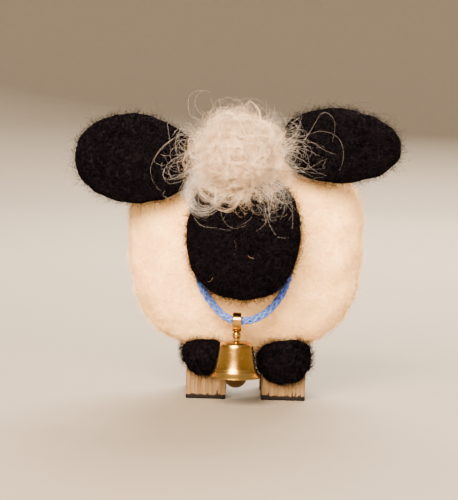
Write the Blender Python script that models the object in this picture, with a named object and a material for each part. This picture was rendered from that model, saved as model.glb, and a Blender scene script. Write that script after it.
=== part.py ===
"""A needle-felted Valais Blacknose sheep on wooden legs, with a bell on a blue collar cord.

Metres, +Z up. The sheep faces -Y and stands on the floor at Z 0. Its own left side is at +X.
Every form is placed in the body frame, whose X 0 and Y 0 are the middle of the torso; the empty
"sheep" then moves the whole so that the origin is the bottom centre of its bounding box.
"""

import math
import random

import bmesh
import bpy
from mathutils import Vector

# The gap that touching pieces keep.
GAP = 0.0003

# The body frame's place in the part's own frame. Its height is what the feet add below it.
BODY_PLACE = Vector((0.0020, 0.0062, 0.0006))

# Torso: an upright felt cushion, a little wider above than below.
TORSO_CENTRE = Vector((0.0, 0.0, 0.0286))
TORSO_HALF = Vector((0.0236, 0.0140, 0.0202))
TORSO_POWER = 2.9
TORSO_TAPER = 0.06

# Head: a thick felt button in front of the torso, on a short neck.
HEAD_CENTRE = Vector((-0.0007, -0.0198, 0.0328))
HEAD_HALF = Vector((0.0112, 0.0054, 0.0126))
HEAD_POWER = 2.3
NECK_HALF = Vector((0.0070, 0.0030, 0.0083))
NECK_POWER = 4.0

# Ears: big flat ovals that stand out sideways from the top of the head.
EAR_DEPTH_HALF = 0.0027
EARS = {
    "ear_right": {
        "centre": Vector((-0.0215, -0.0146, 0.0469)),
        "half": Vector((0.0128, EAR_DEPTH_HALF, 0.0091)),
        "power": 2.3,
        "tip_narrowing": 0.03,
        "root_narrowing": 0.22,
        "roll_deg": 3.0,
        "back_swing_deg": 5.0,
    },
    "ear_left": {
        "centre": Vector((0.0177, -0.0146, 0.0504)),
        "half": Vector((0.0124, EAR_DEPTH_HALF, 0.0076)),
        "power": 2.4,
        "tip_narrowing": 0.18,
        "root_narrowing": 0.06,
        "roll_deg": 2.0,
        "back_swing_deg": 5.0,
    },
}

# Legs: each is a square wooden post whose upper end is held in a felt knee.
POST_DEPTH = 0.0056
POST_TOP = 0.0080
POST_BEVEL = 0.0003
POST_Y = 0.0065
KNEE_POWER = 2.8
LEGS = {
    "front_right": {
        "x": -0.0073,
        "y": -POST_Y,
        "width": 0.0080,
        "knee_half": Vector((0.0050, 0.0058, 0.0045)),
        "knee_z": 0.0080,
    },
    "front_left": {
        "x": 0.0081,
        "y": -POST_Y,
        "width": 0.0088,
        "knee_half": Vector((0.0055, 0.0059, 0.0054)),
        "knee_z": 0.0074,
    },
    "rear_right": {
        "x": -0.0074,
        "y": POST_Y,
        "width": 0.0084,
        "knee_half": Vector((0.0053, 0.0058, 0.0047)),
        "knee_z": 0.0079,
    },
    "rear_left": {
        "x": 0.0079,
        "y": POST_Y,
        "width": 0.0085,
        "knee_half": Vector((0.0054, 0.0058, 0.0049)),
        "knee_z": 0.0077,
    },
}

# Tail: a small felt drop on the back of the torso.
TAIL_CENTRE = Vector((0.0005, 0.0152, 0.0265))
TAIL_HALF = Vector((0.0031, 0.0026, 0.0085))
TAIL_POWER = 2.2
TAIL_NARROWING = 0.35
# How far the tail's ends stand behind its middle.
TAIL_BOW = 0.0012

# Forelock: a felt core on top of the head with curled locks all round it.
CORE_CENTRE = Vector((-0.0022, -0.0213, 0.0462))
CORE_HALF = Vector((0.0080, 0.0042, 0.0066))
CORE_POWER = 2.2
# How far the locks reach from the middle of the core.
SIDE_REACH = 0.0168
TOP_REACH = 0.0106
FRINGE_DROP = 0.0110
FRONT_REACH = 0.0092
LOCK_COUNT = 56
LOCK_STEPS = 7
LOCK_SIDES = 4
LOCK_WIDTH = 0.0027
LOCK_THICKNESS = 0.0013
# The tip's share of the full width, and how late the narrowing comes.
LOCK_TIP = 0.22
LOCK_TAPER_POWER = 1.3
LOCK_SINK = 0.0016
CURL_RADIUS = 0.0034
# How late along a lock its turning comes.
CURL_POWER = 1.7
# The ranges that each lock's own shape is drawn from: its slant to the side, its length
# as a share of the room outside the core, the loops at its end in curl radii, its turning
# in degrees, the lean of its curl out of the plane of the face, and its size.
LOCK_SLANTS = (0.1, 0.7)
LOCK_LENGTHS = (1.15, 1.45)
LOCK_LOOPS = (1.0, 2.2)
LOCK_TURNS = (130, 250)
LOCK_LEANS = (-0.45, 0.25)
LOCK_SIZES = (0.8, 1.15)
# How far a side lock and a lock at the front are lifted forwards, and one at the back
# backwards.
SIDE_LIFT = 0.12
FRONT_LIFT = 0.52
BACK_LIFT = 0.35
# A lock that would point down is turned forwards by this much. One that points back by more
# than BACK_LIMIT is left out, unless it also points up by more than UP_LIMIT.
TURN_FORWARD = 0.35
BACK_LIMIT = 0.3
UP_LIMIT = 0.6
# A lock that faces forward more than this leaves to a side drawn at random.
FACING_SHARE = 0.3
LOCK_SEED = 8
# Locks to the side of this much from the middle lie in front of the ears.
EARS_BEGIN = 0.0060
BEFORE_EARS = -0.0186
# What a lock's own middle line keeps to the forehead.
LOCK_CLEAR = 0.0012

# Collar: a cord round the neck, behind the head, that hangs in a bow on the chest.
CORD_DIAMETER = 0.0016
CORD_STEP = 0.0018
CORD_ROUTE = [
    (-0.0005, -0.0140, 0.0425),
    (0.0040, -0.0141, 0.0411),
    (0.0074, -0.0146, 0.0374),
    (0.0084, -0.0150, 0.0328),
    (0.0085, -0.0152, 0.0286),
    (0.0083, -0.0154, 0.0248),
    (0.0073, -0.0158, 0.0217),
    (0.0057, -0.0163, 0.0193),
    (0.0038, -0.0169, 0.0175),
    (0.0016, -0.0173, 0.0164),
    (-0.0003, -0.0174, 0.0161),
    (-0.0015, -0.0174, 0.0161),
    (-0.0027, -0.0174, 0.0163),
    (-0.0046, -0.0170, 0.0174),
    (-0.0065, -0.0164, 0.0194),
    (-0.0083, -0.0158, 0.0219),
    (-0.0092, -0.0154, 0.0248),
    (-0.0097, -0.0152, 0.0286),
    (-0.0096, -0.0150, 0.0328),
    (-0.0086, -0.0146, 0.0374),
    (-0.0056, -0.0141, 0.0411),
    (-0.0011, -0.0140, 0.0425),
]

# Bell: it hangs by a loop whose eye goes round the cord. Heights are below the cord's centre.
BELL_PIVOT = Vector((-0.0015, -0.0174, 0.0161))
BELL_SEGMENTS = 28
LOOP_INNER = 0.0012
LOOP_BAND = 0.0004
LOOP_WIDTH = 0.0017
LOOP_STRAIGHT = 0.0005
LOOP_BALL_DROP = 0.0028
LOOP_BALL_RADIUS = 0.00085
CROWN_DROP = 0.0040
RIM_DROP = 0.01095
BELL_WALL = 0.0005
# The points of BELL_OUTSIDE that belong to the flat crown.
CROWN_POINTS = 3
RIM_EDGE = 0.0001
SHANK_RADIUS = 0.0004
CROWN_HOLE_RADIUS = SHANK_RADIUS + 1.2 * GAP
FLANGE_RADIUS = 0.00065
YOKE_DROP = 0.0051
YOKE_SIZE = Vector((0.0022, 0.0007, 0.0003))
PRONG_X = 0.0009
PRONG_WIDTH = 0.0004
PRONG_DEPTH = 0.0006
# The share of a band's width that its rounded edges take, each.
BAND_EDGE = 0.18
LOOP_STEPS = 20
EYE_STEPS = 16
ROD_SEGMENTS = 12
LOOP_BALL_RINGS = 6
CLAPPER_DROP = 0.0064
PIN_RADIUS = 0.00025
EYE_INNER = 0.00055
EYE_OUTER = 0.0008
EYE_WIDTH = 0.0005
CLAPPER_BALL_DROP = 0.0108
CLAPPER_BALL_RADIUS = 0.0023
CLAPPER_STEM_RADIUS = 0.0003
CLAPPER_STEM_FLARE = 0.0008
CLAPPER_BALL_RINGS = 10
STEM_INTO_EYE = 0.0001
# The outside of the bell below its crown: (height below the crown, radius).
BELL_OUTSIDE = [
    (0.0000, 0.0018),
    (0.0002, 0.0026),
    (0.0005, 0.0031),
    (0.0012, 0.0033),
    (0.0026, 0.0035),
    (0.0040, 0.0037),
    (0.0052, 0.0040),
    (0.0058, 0.0043),
    (0.0063, 0.0047),
    (0.0068, 0.0051),
]

# The colours and finishes of the pieces: (colour, roughness, metallic).
CREAM_FELT = ((0.88, 0.78, 0.62, 1.0), 0.95, 0.0)
BLACK_FELT = ((0.012, 0.011, 0.012, 1.0), 0.95, 0.0)
CREAM_WOOL = ((0.86, 0.77, 0.66, 1.0), 0.85, 0.0)
PALE_WOOD = ((0.66, 0.48, 0.29, 1.0), 0.70, 0.0)
BLUE_CORD = ((0.12, 0.25, 0.70, 1.0), 0.45, 0.0)
GOLD_BRASS = ((0.83, 0.53, 0.16, 1.0), 0.22, 1.0)


def clear_scene():
    for obj in list(bpy.data.objects):
        bpy.data.objects.remove(obj)


def finish_of(name, finish):
    """A Principled material of a plain colour, roughness and metallic value."""
    material = bpy.data.materials.get(name) or bpy.data.materials.new(name)
    colour, roughness, metallic = finish
    material.use_nodes = True
    shader = material.node_tree.nodes["Principled BSDF"]
    shader.inputs["Base Color"].default_value = colour
    shader.inputs["Roughness"].default_value = roughness
    shader.inputs["Metallic"].default_value = metallic
    return material


def object_from(name, bm, location=(0, 0, 0)):
    """An object of a bmesh, with its faces pointing out."""
    bmesh.ops.recalc_face_normals(bm, faces=bm.faces)
    mesh = bpy.data.meshes.new(name)
    bm.to_mesh(mesh)
    bm.free()
    obj = bpy.data.objects.new(name, mesh)
    obj.location = location
    bpy.context.scene.collection.objects.link(obj)
    return obj


def rounded_form(name, centre, half, power, detail=4, grow=0.0, shape=None):
    """A superellipsoid: an icosphere scaled to half sizes and squared off by its power.

    grow adds to each half size, and shape moves a point of the finished form.
    """
    bm = bmesh.new()
    bmesh.ops.create_icosphere(bm, subdivisions=detail, radius=1.0)
    for vert in bm.verts:
        unit = vert.co.normalized()
        swell = sum(abs(value) ** power for value in unit) ** (-1.0 / power)
        point = Vector(value * swell * size for value, size in zip(unit, half))
        if shape:
            point = shape(point)
        vert.co = point
    if grow:
        bm.normal_update()
        moves = [(vert, vert.normal * grow) for vert in bm.verts]
        for vert, move in moves:
            vert.co += move
    return object_from(name, bm, centre)


def bake(obj):
    """Turns the object's modifiers into plain mesh and keeps its largest closed surface."""
    bpy.context.view_layer.update()
    graph = bpy.context.evaluated_depsgraph_get()
    mesh = bpy.data.meshes.new_from_object(obj.evaluated_get(graph))
    obj.modifiers.clear()
    obj.data = mesh
    keep_largest(mesh)


def keep_largest(mesh):
    """Deletes every loose surface of the mesh but the one that encloses the most."""
    bm = bmesh.new()
    bm.from_mesh(mesh)
    left = set(bm.faces)
    islands = []
    while left:
        edge_faces = [left.pop()]
        island = set(edge_faces)
        while edge_faces:
            face = edge_faces.pop()
            for edge in face.edges:
                for other in edge.link_faces:
                    if other in left:
                        left.discard(other)
                        island.add(other)
                        edge_faces.append(other)
        islands.append(island)
    largest = max(islands, key=enclosed_volume)
    loose = [face for island in islands if island is not largest for face in island]
    bmesh.ops.delete(bm, geom=loose, context="FACES")
    bm.to_mesh(mesh)
    bm.free()


def enclosed_volume(faces):
    """The volume inside a closed set of faces."""
    total = 0.0
    for face in faces:
        first = face.verts[0].co
        for second, third in zip(face.verts[1:], face.verts[2:]):
            total += first.dot(second.co.cross(third.co)) / 6
    return total


def cut_clear(obj, cutters):
    """Takes the cutters out of the object. A cutter is removed afterwards."""
    for cutter in cutters:
        cut = obj.modifiers.new("cut", "BOOLEAN")
        cut.operation = "DIFFERENCE"
        cut.solver = "EXACT"
        cut.object = cutter
    bake(obj)
    for cutter in cutters:
        bpy.data.objects.remove(cutter)


def join_pieces(obj, pieces, solver="EXACT"):
    """One union of the object with a collection of closed pieces, which are then removed."""
    collection = bpy.data.collections.new(obj.name + "_pieces")
    for piece in pieces:
        bpy.context.scene.collection.objects.unlink(piece)
        collection.objects.link(piece)
    bpy.context.scene.collection.children.link(collection)
    join = obj.modifiers.new("join", "BOOLEAN")
    join.operation = "UNION"
    join.solver = solver
    join.operand_type = "COLLECTION"
    join.collection = collection
    bake(obj)
    for piece in pieces:
        bpy.data.objects.remove(piece)
    bpy.data.collections.remove(collection)


def torso_shape(point):
    widening = 1.0 + TORSO_TAPER * point.z / TORSO_HALF.z
    return Vector((point.x * widening, point.y, point.z))


def torso_form(name, grow=0.0):
    return rounded_form(
        name, TORSO_CENTRE, TORSO_HALF, TORSO_POWER, grow=grow, shape=torso_shape
    )


def head_form(name, grow=0.0):
    return rounded_form(name, HEAD_CENTRE, HEAD_HALF, HEAD_POWER, grow=grow)


def neck_form(name, grow=0.0):
    """The neck runs from inside the torso's front to inside the head's back."""
    middle = Vector((HEAD_CENTRE.x, (HEAD_CENTRE.y - TORSO_HALF.y) / 2, HEAD_CENTRE.z))
    return rounded_form(name, middle, NECK_HALF, NECK_POWER, detail=3, grow=grow)


def ear_form(name, ear, grow=0.0):
    """A flat oval. Its outer end is at -X on the right ear and at +X on the left one."""
    outward = math.copysign(1.0, ear["centre"].x)

    def shape(point):
        along = outward * point.x / ear["half"].x
        outer, inner = max(along, 0.0), max(-along, 0.0)
        narrow = 1.0 - ear["tip_narrowing"] * outer - ear["root_narrowing"] * inner
        return Vector((point.x, point.y, point.z * narrow))

    form = rounded_form(
        name, ear["centre"], ear["half"], ear["power"], 3, grow=grow, shape=shape
    )
    roll = math.radians(ear["roll_deg"])
    swing = math.radians(ear["back_swing_deg"]) * outward
    form.rotation_euler = (0.0, roll, swing)
    return form


def tail_form(name):
    def shape(point):
        down = -point.z / TAIL_HALF.z
        narrow = 1.0 - TAIL_NARROWING * down
        return Vector((point.x * narrow, point.y + TAIL_BOW * down * down, point.z))

    return rounded_form(name, TAIL_CENTRE, TAIL_HALF, TAIL_POWER, detail=3, shape=shape)


def post_form(name, leg, grow=0.0):
    """A square wooden post from the floor up into the knee."""
    height = POST_TOP + BODY_PLACE.z
    bm = bmesh.new()
    bmesh.ops.create_cube(bm, size=1.0)
    size = Vector((leg["width"], POST_DEPTH, height)) + Vector((2, 2, 2)) * grow
    bmesh.ops.scale(bm, vec=size, verts=bm.verts)
    if not grow:
        bmesh.ops.bevel(
            bm, geom=bm.edges[:], offset=POST_BEVEL, segments=2, profile=0.5, affect="EDGES"
        )
    return object_from(name, bm, (leg["x"], leg["y"], POST_TOP - height / 2))


def knee_form(name, leg):
    """A felt ball under the torso, which takes the post's upper end."""
    centre = Vector((leg["x"], leg["y"], leg["knee_z"]))
    return rounded_form(name, centre, leg["knee_half"], KNEE_POWER, detail=3)


def lie_over(point):
    """The point moved forward, so that a lock lies over the forehead and the ears."""
    across, forward, up = (
        abs(value) / size for value, size in zip(point - HEAD_CENTRE, HEAD_HALF)
    )
    depth = 1.0 - across**HEAD_POWER - up**HEAD_POWER
    if depth > 0:
        front = HEAD_CENTRE.y - HEAD_HALF.y * depth ** (1 / HEAD_POWER)
        point.y = min(point.y, front - LOCK_CLEAR)
    if abs(point.x - CORE_CENTRE.x) > EARS_BEGIN:
        point.y = min(point.y, BEFORE_EARS)
    return point


def curl_path(root, out, bend, length, turn):
    """The line of a lock: it leaves along out and curls towards bend, tighter to its tip."""
    points = []
    here = root.copy()
    step = length / LOCK_STEPS
    for index in range(LOCK_STEPS + 1):
        points.append(lie_over(here.copy()) if index > 1 else here.copy())
        angle = turn * ((index + 0.5) / LOCK_STEPS) ** CURL_POWER
        here += (out * math.cos(angle) + bend * math.sin(angle)) * step
    return points


def swept(name, path, across, sections):
    """A closed tube along a flat path. across is square to the path's plane.

    sections gives the width in the plane and the thickness square to it, at each point.
    """
    bm = bmesh.new()
    rings = []
    for index, (point, (width, thickness)) in enumerate(zip(path, sections)):
        before = path[max(index - 1, 0)]
        after = path[min(index + 1, len(path) - 1)]
        inward = across.cross((after - before).normalized())
        ring = []
        for side in range(LOCK_SIDES):
            turn = 2 * math.pi * side / LOCK_SIDES
            offset = inward * (math.cos(turn) * width / 2)
            offset += across * (math.sin(turn) * thickness / 2)
            ring.append(bm.verts.new(point + offset))
        rings.append(ring)
    for ring, following in zip(rings, rings[1:]):
        for side in range(LOCK_SIDES):
            other = (side + 1) % LOCK_SIDES
            bm.faces.new((ring[side], ring[other], following[other], following[side]))
    bm.faces.new(reversed(rings[0]))
    bm.faces.new(rings[-1])
    bmesh.ops.triangulate(bm, faces=bm.faces)
    return object_from(name, bm)


def lock_directions():
    """Directions spread evenly over a sphere. Those that would point down into the head
    or back into the torso are turned to the front, where the fringe hangs."""
    golden = math.pi * (3.0 - math.sqrt(5.0))
    for index in range(LOCK_COUNT):
        height = 1.0 - 2.0 * (index + 0.5) / LOCK_COUNT
        ring = math.sqrt(1.0 - height * height)
        turn = golden * index
        way = Vector((ring * math.cos(turn), ring * math.sin(turn), height))
        if way.z < 0:
            way.y = -abs(way.y) - TURN_FORWARD
        elif way.y > BACK_LIMIT and way.z < UP_LIMIT:
            continue
        yield way.normalized()


def reach_along(way, radii):
    """The distance from the middle of an ellipsoid of these radii to its surface."""
    return sum((value / radius) ** 2 for value, radius in zip(way, radii)) ** -0.5


def forelock_lock(index, way, chance):
    """One lock. It leaves the core aslant, so that it lies over its neighbours, and curls
    more or less in the plane of the face."""
    facing = max(0.0, -way.y)
    in_face = Vector((way.x, 0.0, way.z))
    if in_face.length < FACING_SHARE:
        spin = chance.uniform(0, 2 * math.pi)
        in_face = Vector((math.cos(spin), 0.0, math.sin(spin)))
    in_face.normalize()
    hand = chance.choice((-1.0, 1.0))
    side = Vector((-in_face.z, 0.0, in_face.x)) * hand
    slant = chance.uniform(*LOCK_SLANTS)
    lift = BACK_LIFT * max(0.0, way.y) - SIDE_LIFT - FRONT_LIFT * facing * facing
    out = (in_face - side * slant + Vector((0, lift, 0))).normalized()
    bend = side + Vector((0, chance.uniform(*LOCK_LEANS), 0))
    bend = (bend - out * bend.dot(out)).normalized()
    radii = (SIDE_REACH, FRONT_REACH, TOP_REACH if way.z > 0 else FRINGE_DROP)
    room = reach_along(way, radii) - reach_along(way, CORE_HALF)
    length = room * chance.uniform(*LOCK_LENGTHS) + CURL_RADIUS * chance.uniform(*LOCK_LOOPS)
    turn = math.radians(chance.uniform(*LOCK_TURNS))
    root = CORE_CENTRE + way * (reach_along(way, CORE_HALF) - LOCK_SINK)
    path = curl_path(root, out, bend, length + LOCK_SINK, turn)
    size = chance.uniform(*LOCK_SIZES)
    sections = []
    for step in range(LOCK_STEPS + 1):
        along = (step / LOCK_STEPS) ** LOCK_TAPER_POWER
        taper = size * (1.0 - (1.0 - LOCK_TIP) * along)
        sections.append((LOCK_WIDTH * taper, LOCK_THICKNESS * taper))
    return swept(f"lock_{index}", path, out.cross(bend).normalized(), sections)


def forelock():
    chance = random.Random(LOCK_SEED)
    core = rounded_form("forelock", CORE_CENTRE, CORE_HALF, CORE_POWER, detail=3)
    locks = [
        forelock_lock(index, way, chance) for index, way in enumerate(lock_directions())
    ]
    join_pieces(core, locks)
    return core


def smooth_route(route, step):
    """Points about a step apart on a Catmull-Rom curve through the route's own points."""
    stops = [Vector(point) for point in route]
    stops = [2 * stops[0] - stops[1]] + stops + [2 * stops[-1] - stops[-2]]
    fine = []
    pieces = 12
    for before, start, end, after in zip(stops, stops[1:], stops[2:], stops[3:]):
        for piece in range(pieces):
            share = piece / pieces
            fine.append(
                0.5
                * (
                    2 * start
                    + (end - before) * share
                    + (2 * before - 5 * start + 4 * end - after) * share**2
                    + (3 * start - before - 3 * end + after) * share**3
                )
            )
    fine.append(stops[-2])
    total = sum((b - a).length for a, b in zip(fine, fine[1:]))
    spacing = total / round(total / step)
    points, travelled, wanted = [fine[0]], 0.0, spacing
    for start, end in zip(fine, fine[1:]):
        length = (end - start).length
        while travelled + length >= wanted - 1e-9 and len(points) < round(total / step):
            points.append(start.lerp(end, (wanted - travelled) / length))
            wanted += spacing
        travelled += length
    points.append(fine[-1])
    return points


def mesh_copy(obj):
    """A mesh object in place of a curve object, with its ends joined to its sides."""
    bpy.context.view_layer.update()
    graph = bpy.context.evaluated_depsgraph_get()
    mesh = bpy.data.meshes.new_from_object(obj.evaluated_get(graph))
    name = obj.name
    bpy.data.objects.remove(obj)
    bm = bmesh.new()
    bm.from_mesh(mesh)
    bmesh.ops.remove_doubles(bm, verts=bm.verts, dist=1e-6)
    return object_from(name, bm)


def collar_cord(name, grow=0.0):
    """The collar: a round cord along its route, or a thicker closed ring to cut with."""
    points = smooth_route(CORD_ROUTE, CORD_STEP)
    curve = bpy.data.curves.new(name, "CURVE")
    curve.dimensions = "3D"
    curve.bevel_depth = CORD_DIAMETER / 2 + grow
    curve.bevel_resolution = 2
    curve.use_fill_caps = True
    spline = curve.splines.new("POLY")
    spline.use_cyclic_u = grow > 0
    spline.points.add(len(points) - 1)
    for slot, point in zip(spline.points, points):
        slot.co = (*point, 1.0)
    obj = bpy.data.objects.new(name, curve)
    bpy.context.scene.collection.objects.link(obj)
    return mesh_copy(obj) if grow else obj


def turned(name, profile, segments):
    """A body turned about Z from (height, radius) points; a radius of 0 closes it at a pole."""
    bm = bmesh.new()
    rings = []
    for height, radius in profile:
        if radius == 0:
            rings.append([bm.verts.new((0, 0, height))])
            continue
        ring = []
        for segment in range(segments):
            turn = 2 * math.pi * segment / segments
            ring.append(
                bm.verts.new((radius * math.cos(turn), radius * math.sin(turn), height))
            )
        rings.append(ring)
    for ring, following in zip(rings, rings[1:] + rings[:1]):
        if len(ring) == 1 and len(following) == 1:
            continue
        for segment in range(segments):
            other = (segment + 1) % segments
            corners = [ring[segment % len(ring)], following[segment % len(following)]]
            corners += [following[other % len(following)], ring[other % len(ring)]]
            distinct = list(dict.fromkeys(corners))
            bm.faces.new(distinct)
    return object_from(name, bm)


def bar(name, size, location):
    """A plain rectangular bar."""
    bm = bmesh.new()
    bmesh.ops.create_cube(bm, size=1.0)
    bmesh.ops.scale(bm, vec=size, verts=bm.verts)
    return object_from(name, bm, location)


def ring_band(name, inner, outer, straight, width, steps):
    """A band round an axis along X, lengthened downwards by straight."""
    bm = bmesh.new()
    sections = []
    half_turns = steps // 2
    for part in range(2):
        for step in range(half_turns + 1):
            turn = math.pi * (part + step / half_turns)
            centre = Vector((0, 0, -straight if part else 0))
            out = Vector((0, math.cos(turn), math.sin(turn)))
            edge = BAND_EDGE * width
            middle = (inner + outer) / 2
            section = [
                (-width / 2, middle),
                (-width / 2 + edge, outer),
                (width / 2 - edge, outer),
                (width / 2, middle),
                (width / 2 - edge, inner),
                (-width / 2 + edge, inner),
            ]
            sections.append(
                [bm.verts.new(centre + out * r + Vector((x, 0, 0))) for x, r in section]
            )
    for first, second in zip(sections, sections[1:] + sections[:1]):
        for corner in range(len(first)):
            other = (corner + 1) % len(first)
            bm.faces.new((first[corner], first[other], second[other], second[corner]))
    bmesh.ops.remove_doubles(bm, verts=bm.verts, dist=1e-6)
    return object_from(name, bm)


def ball_profile(height, radius, rings, first=0):
    """(height, radius) points down a ball, from the ring numbered first to its lower pole."""
    points = []
    for ring in range(first, rings + 1):
        turn = math.pi * ring / rings
        across = 0.0 if ring in (0, rings) else radius * math.sin(turn)
        points.append((height + radius * math.cos(turn), across))
    return points


def bell_loop():
    """The loop round the cord, with the shank that goes through the bell's crown and carries
    the clapper's pin. It is modelled about the pivot."""
    loop = ring_band(
        "bell_loop", LOOP_INNER, LOOP_INNER + LOOP_BAND, LOOP_STRAIGHT, LOOP_WIDTH, LOOP_STEPS
    )
    ball = turned(
        "ball", ball_profile(-LOOP_BALL_DROP, LOOP_BALL_RADIUS, LOOP_BALL_RINGS), ROD_SEGMENTS
    )
    shank_top = -LOOP_BALL_DROP - LOOP_BALL_RADIUS / 2
    flange_end = GAP - CROWN_DROP
    shank_end = -YOKE_DROP - YOKE_SIZE.z / 3
    shank_profile = [
        (shank_top, 0.0),
        (shank_top, FLANGE_RADIUS),
        (flange_end, FLANGE_RADIUS),
        (flange_end, SHANK_RADIUS),
        (shank_end, SHANK_RADIUS),
        (shank_end, 0.0),
    ]
    shank = turned("shank", shank_profile, ROD_SEGMENTS)
    yoke = bar("yoke", YOKE_SIZE, (0, 0, -YOKE_DROP))
    prong_length = CLAPPER_DROP + PIN_RADIUS - YOKE_DROP
    prong_size = Vector((PRONG_WIDTH, PRONG_DEPTH, prong_length))
    prongs = [
        bar(f"prong_{side}", prong_size, (PRONG_X * side, 0, -YOKE_DROP - prong_length / 2))
        for side in (-1, 1)
    ]
    pin_profile = [(-PRONG_X, 0.0), (-PRONG_X, PIN_RADIUS), (PRONG_X, PIN_RADIUS), (PRONG_X, 0.0)]
    pin = turned("pin", pin_profile, ROD_SEGMENTS)
    pin.rotation_euler = (0, math.pi / 2, 0)
    pin.location = (0, 0, -CLAPPER_DROP)
    join_pieces(loop, [shank, ball, yoke, *prongs, pin])
    return loop


def bell_shell():
    """The turned brass shell: crown with a hole for the shank, waist and flared rim."""
    outside = [(-CROWN_DROP - drop, radius) for drop, radius in BELL_OUTSIDE]
    inside = [
        (height - (BELL_WALL if index < CROWN_POINTS else 0.0), radius - BELL_WALL)
        for index, (height, radius) in enumerate(outside)
    ]
    profile = [(-CROWN_DROP, CROWN_HOLE_RADIUS)] + outside
    profile.append((-RIM_DROP, outside[-1][1] - RIM_EDGE))
    profile.append((-RIM_DROP, inside[-1][1] + RIM_EDGE))
    profile += reversed(inside[1:])
    profile.append((-CROWN_DROP - BELL_WALL, CROWN_HOLE_RADIUS))
    return turned("bell_shell", profile, BELL_SEGMENTS)


def clapper():
    """The clapper, modelled about its own pin: an eye, a stem and a ball."""
    eye = ring_band("clapper", EYE_INNER, EYE_OUTER, 0.0, EYE_WIDTH, EYE_STEPS)
    ball = ball_profile(
        CLAPPER_DROP - CLAPPER_BALL_DROP, CLAPPER_BALL_RADIUS, CLAPPER_BALL_RINGS, first=2
    )
    stem_top = -EYE_INNER - STEM_INTO_EYE
    stem = [
        (stem_top, 0.0),
        (stem_top, CLAPPER_STEM_RADIUS),
        (ball[0][0] + CLAPPER_STEM_FLARE, CLAPPER_STEM_RADIUS),
    ]
    join_pieces(eye, [turned("stem", stem + ball, ROD_SEGMENTS)])
    return eye


def paint(obj, name, finish, smooth=True):
    obj.data.materials.clear()
    obj.data.materials.append(finish_of(name, finish))
    if smooth and obj.type == "MESH":
        obj.data.shade_smooth()
        obj.data.set_sharp_from_angle(angle=math.radians(40))


def hang(objects, empty_name, place, parent):
    """Parents objects, which are modelled about a pivot, to an empty at that pivot."""
    empty = bpy.data.objects.new(empty_name, None)
    empty.location = place
    empty.parent = parent
    bpy.context.scene.collection.objects.link(empty)
    for obj in objects:
        obj.parent = empty
    return empty


def build():
    clear_scene()
    torso = torso_form("torso")
    head = head_form("head")
    neck = neck_form("neck")
    cut_clear(neck, [torso_form("torso_cut", GAP), head_form("head_cut", GAP)])

    ears = []
    for name, ear in EARS.items():
        form = ear_form(name, ear)
        cut_clear(form, [head_form("head_cut", GAP), torso_form("torso_cut", GAP)])
        ears.append(form)

    tail = tail_form("tail")
    cut_clear(tail, [torso_form("torso_cut", GAP)])

    posts, knees = [], []
    for name, leg in LEGS.items():
        posts.append(post_form("leg_" + name, leg))
        knee = knee_form("knee_" + name, leg)
        cut_clear(knee, [torso_form("torso_cut", GAP), post_form("post_cut", leg, GAP)])
        knees.append(knee)

    tuft = forelock()
    ear_cutters = [ear_form(name + "_cut", ear, GAP) for name, ear in EARS.items()]
    cut_clear(
        tuft,
        [
            head_form("head_cut", GAP),
            torso_form("torso_cut", GAP),
            neck_form("neck_cut", GAP),
            collar_cord("collar_cut", GAP),
            *ear_cutters,
        ],
    )

    collar = collar_cord("collar")
    loop, shell, hammer = bell_loop(), bell_shell(), clapper()

    for obj in (torso, neck, tail):
        paint(obj, "cream_felt", CREAM_FELT)
    for obj in (head, *ears, *knees):
        paint(obj, "black_felt", BLACK_FELT)
    for obj in posts:
        paint(obj, "pale_wood", PALE_WOOD)
    for obj in (loop, shell, hammer):
        paint(obj, "gold_brass", GOLD_BRASS)
    paint(tuft, "cream_wool", CREAM_WOOL)
    paint(collar, "blue_cord", BLUE_CORD)

    sheep = bpy.data.objects.new("sheep", None)
    sheep.location = BODY_PLACE
    bpy.context.scene.collection.objects.link(sheep)
    for obj in (torso, head, neck, tail, tuft, collar, *ears, *posts, *knees):
        obj.parent = sheep
    bell_pivot = hang([loop, shell], "bell_pivot", BELL_PIVOT, sheep)
    hang([hammer], "clapper_pivot", Vector((0, 0, -CLAPPER_DROP)), bell_pivot)


build()
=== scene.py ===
# %% [markdown]
# # A needle-felted Valais Blacknose sheep
#
# This small figure was made by hand from wool. The body is a cream cushion of felt, the head,
# the ears and the knees are black felt, and a mop of loose curly wool is the forelock. It
# stands on four square wooden pegs, and a brass bell hangs from its blue braided cord.
# Wool is recognised by the fine fibres at its edge, so each felt piece here is a lumpy skin
# with real fibres on it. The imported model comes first. It never moves, and every piece below
# is fitted to it.

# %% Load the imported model
import math
import random

import bmesh
import bpy
import numpy as np
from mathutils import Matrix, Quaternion, Vector, noise


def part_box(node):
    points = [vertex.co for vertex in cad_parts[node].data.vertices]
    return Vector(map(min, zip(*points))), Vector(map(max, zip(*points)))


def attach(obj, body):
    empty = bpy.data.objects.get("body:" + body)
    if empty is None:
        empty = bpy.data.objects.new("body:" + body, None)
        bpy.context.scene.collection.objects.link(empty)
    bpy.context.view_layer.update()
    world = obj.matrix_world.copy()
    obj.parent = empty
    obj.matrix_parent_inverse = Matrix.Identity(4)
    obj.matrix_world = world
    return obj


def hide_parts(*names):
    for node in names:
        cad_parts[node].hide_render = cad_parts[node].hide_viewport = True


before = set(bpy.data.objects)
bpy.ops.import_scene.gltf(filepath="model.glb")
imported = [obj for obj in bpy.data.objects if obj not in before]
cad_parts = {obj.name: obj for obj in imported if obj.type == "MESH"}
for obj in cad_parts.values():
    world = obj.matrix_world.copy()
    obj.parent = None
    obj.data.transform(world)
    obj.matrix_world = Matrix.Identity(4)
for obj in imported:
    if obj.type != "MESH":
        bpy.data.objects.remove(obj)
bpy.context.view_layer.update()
for starter in ("Cube", "Light", "Camera"):
    if starter in bpy.data.objects:
        bpy.data.objects.remove(bpy.data.objects[starter])

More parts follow.
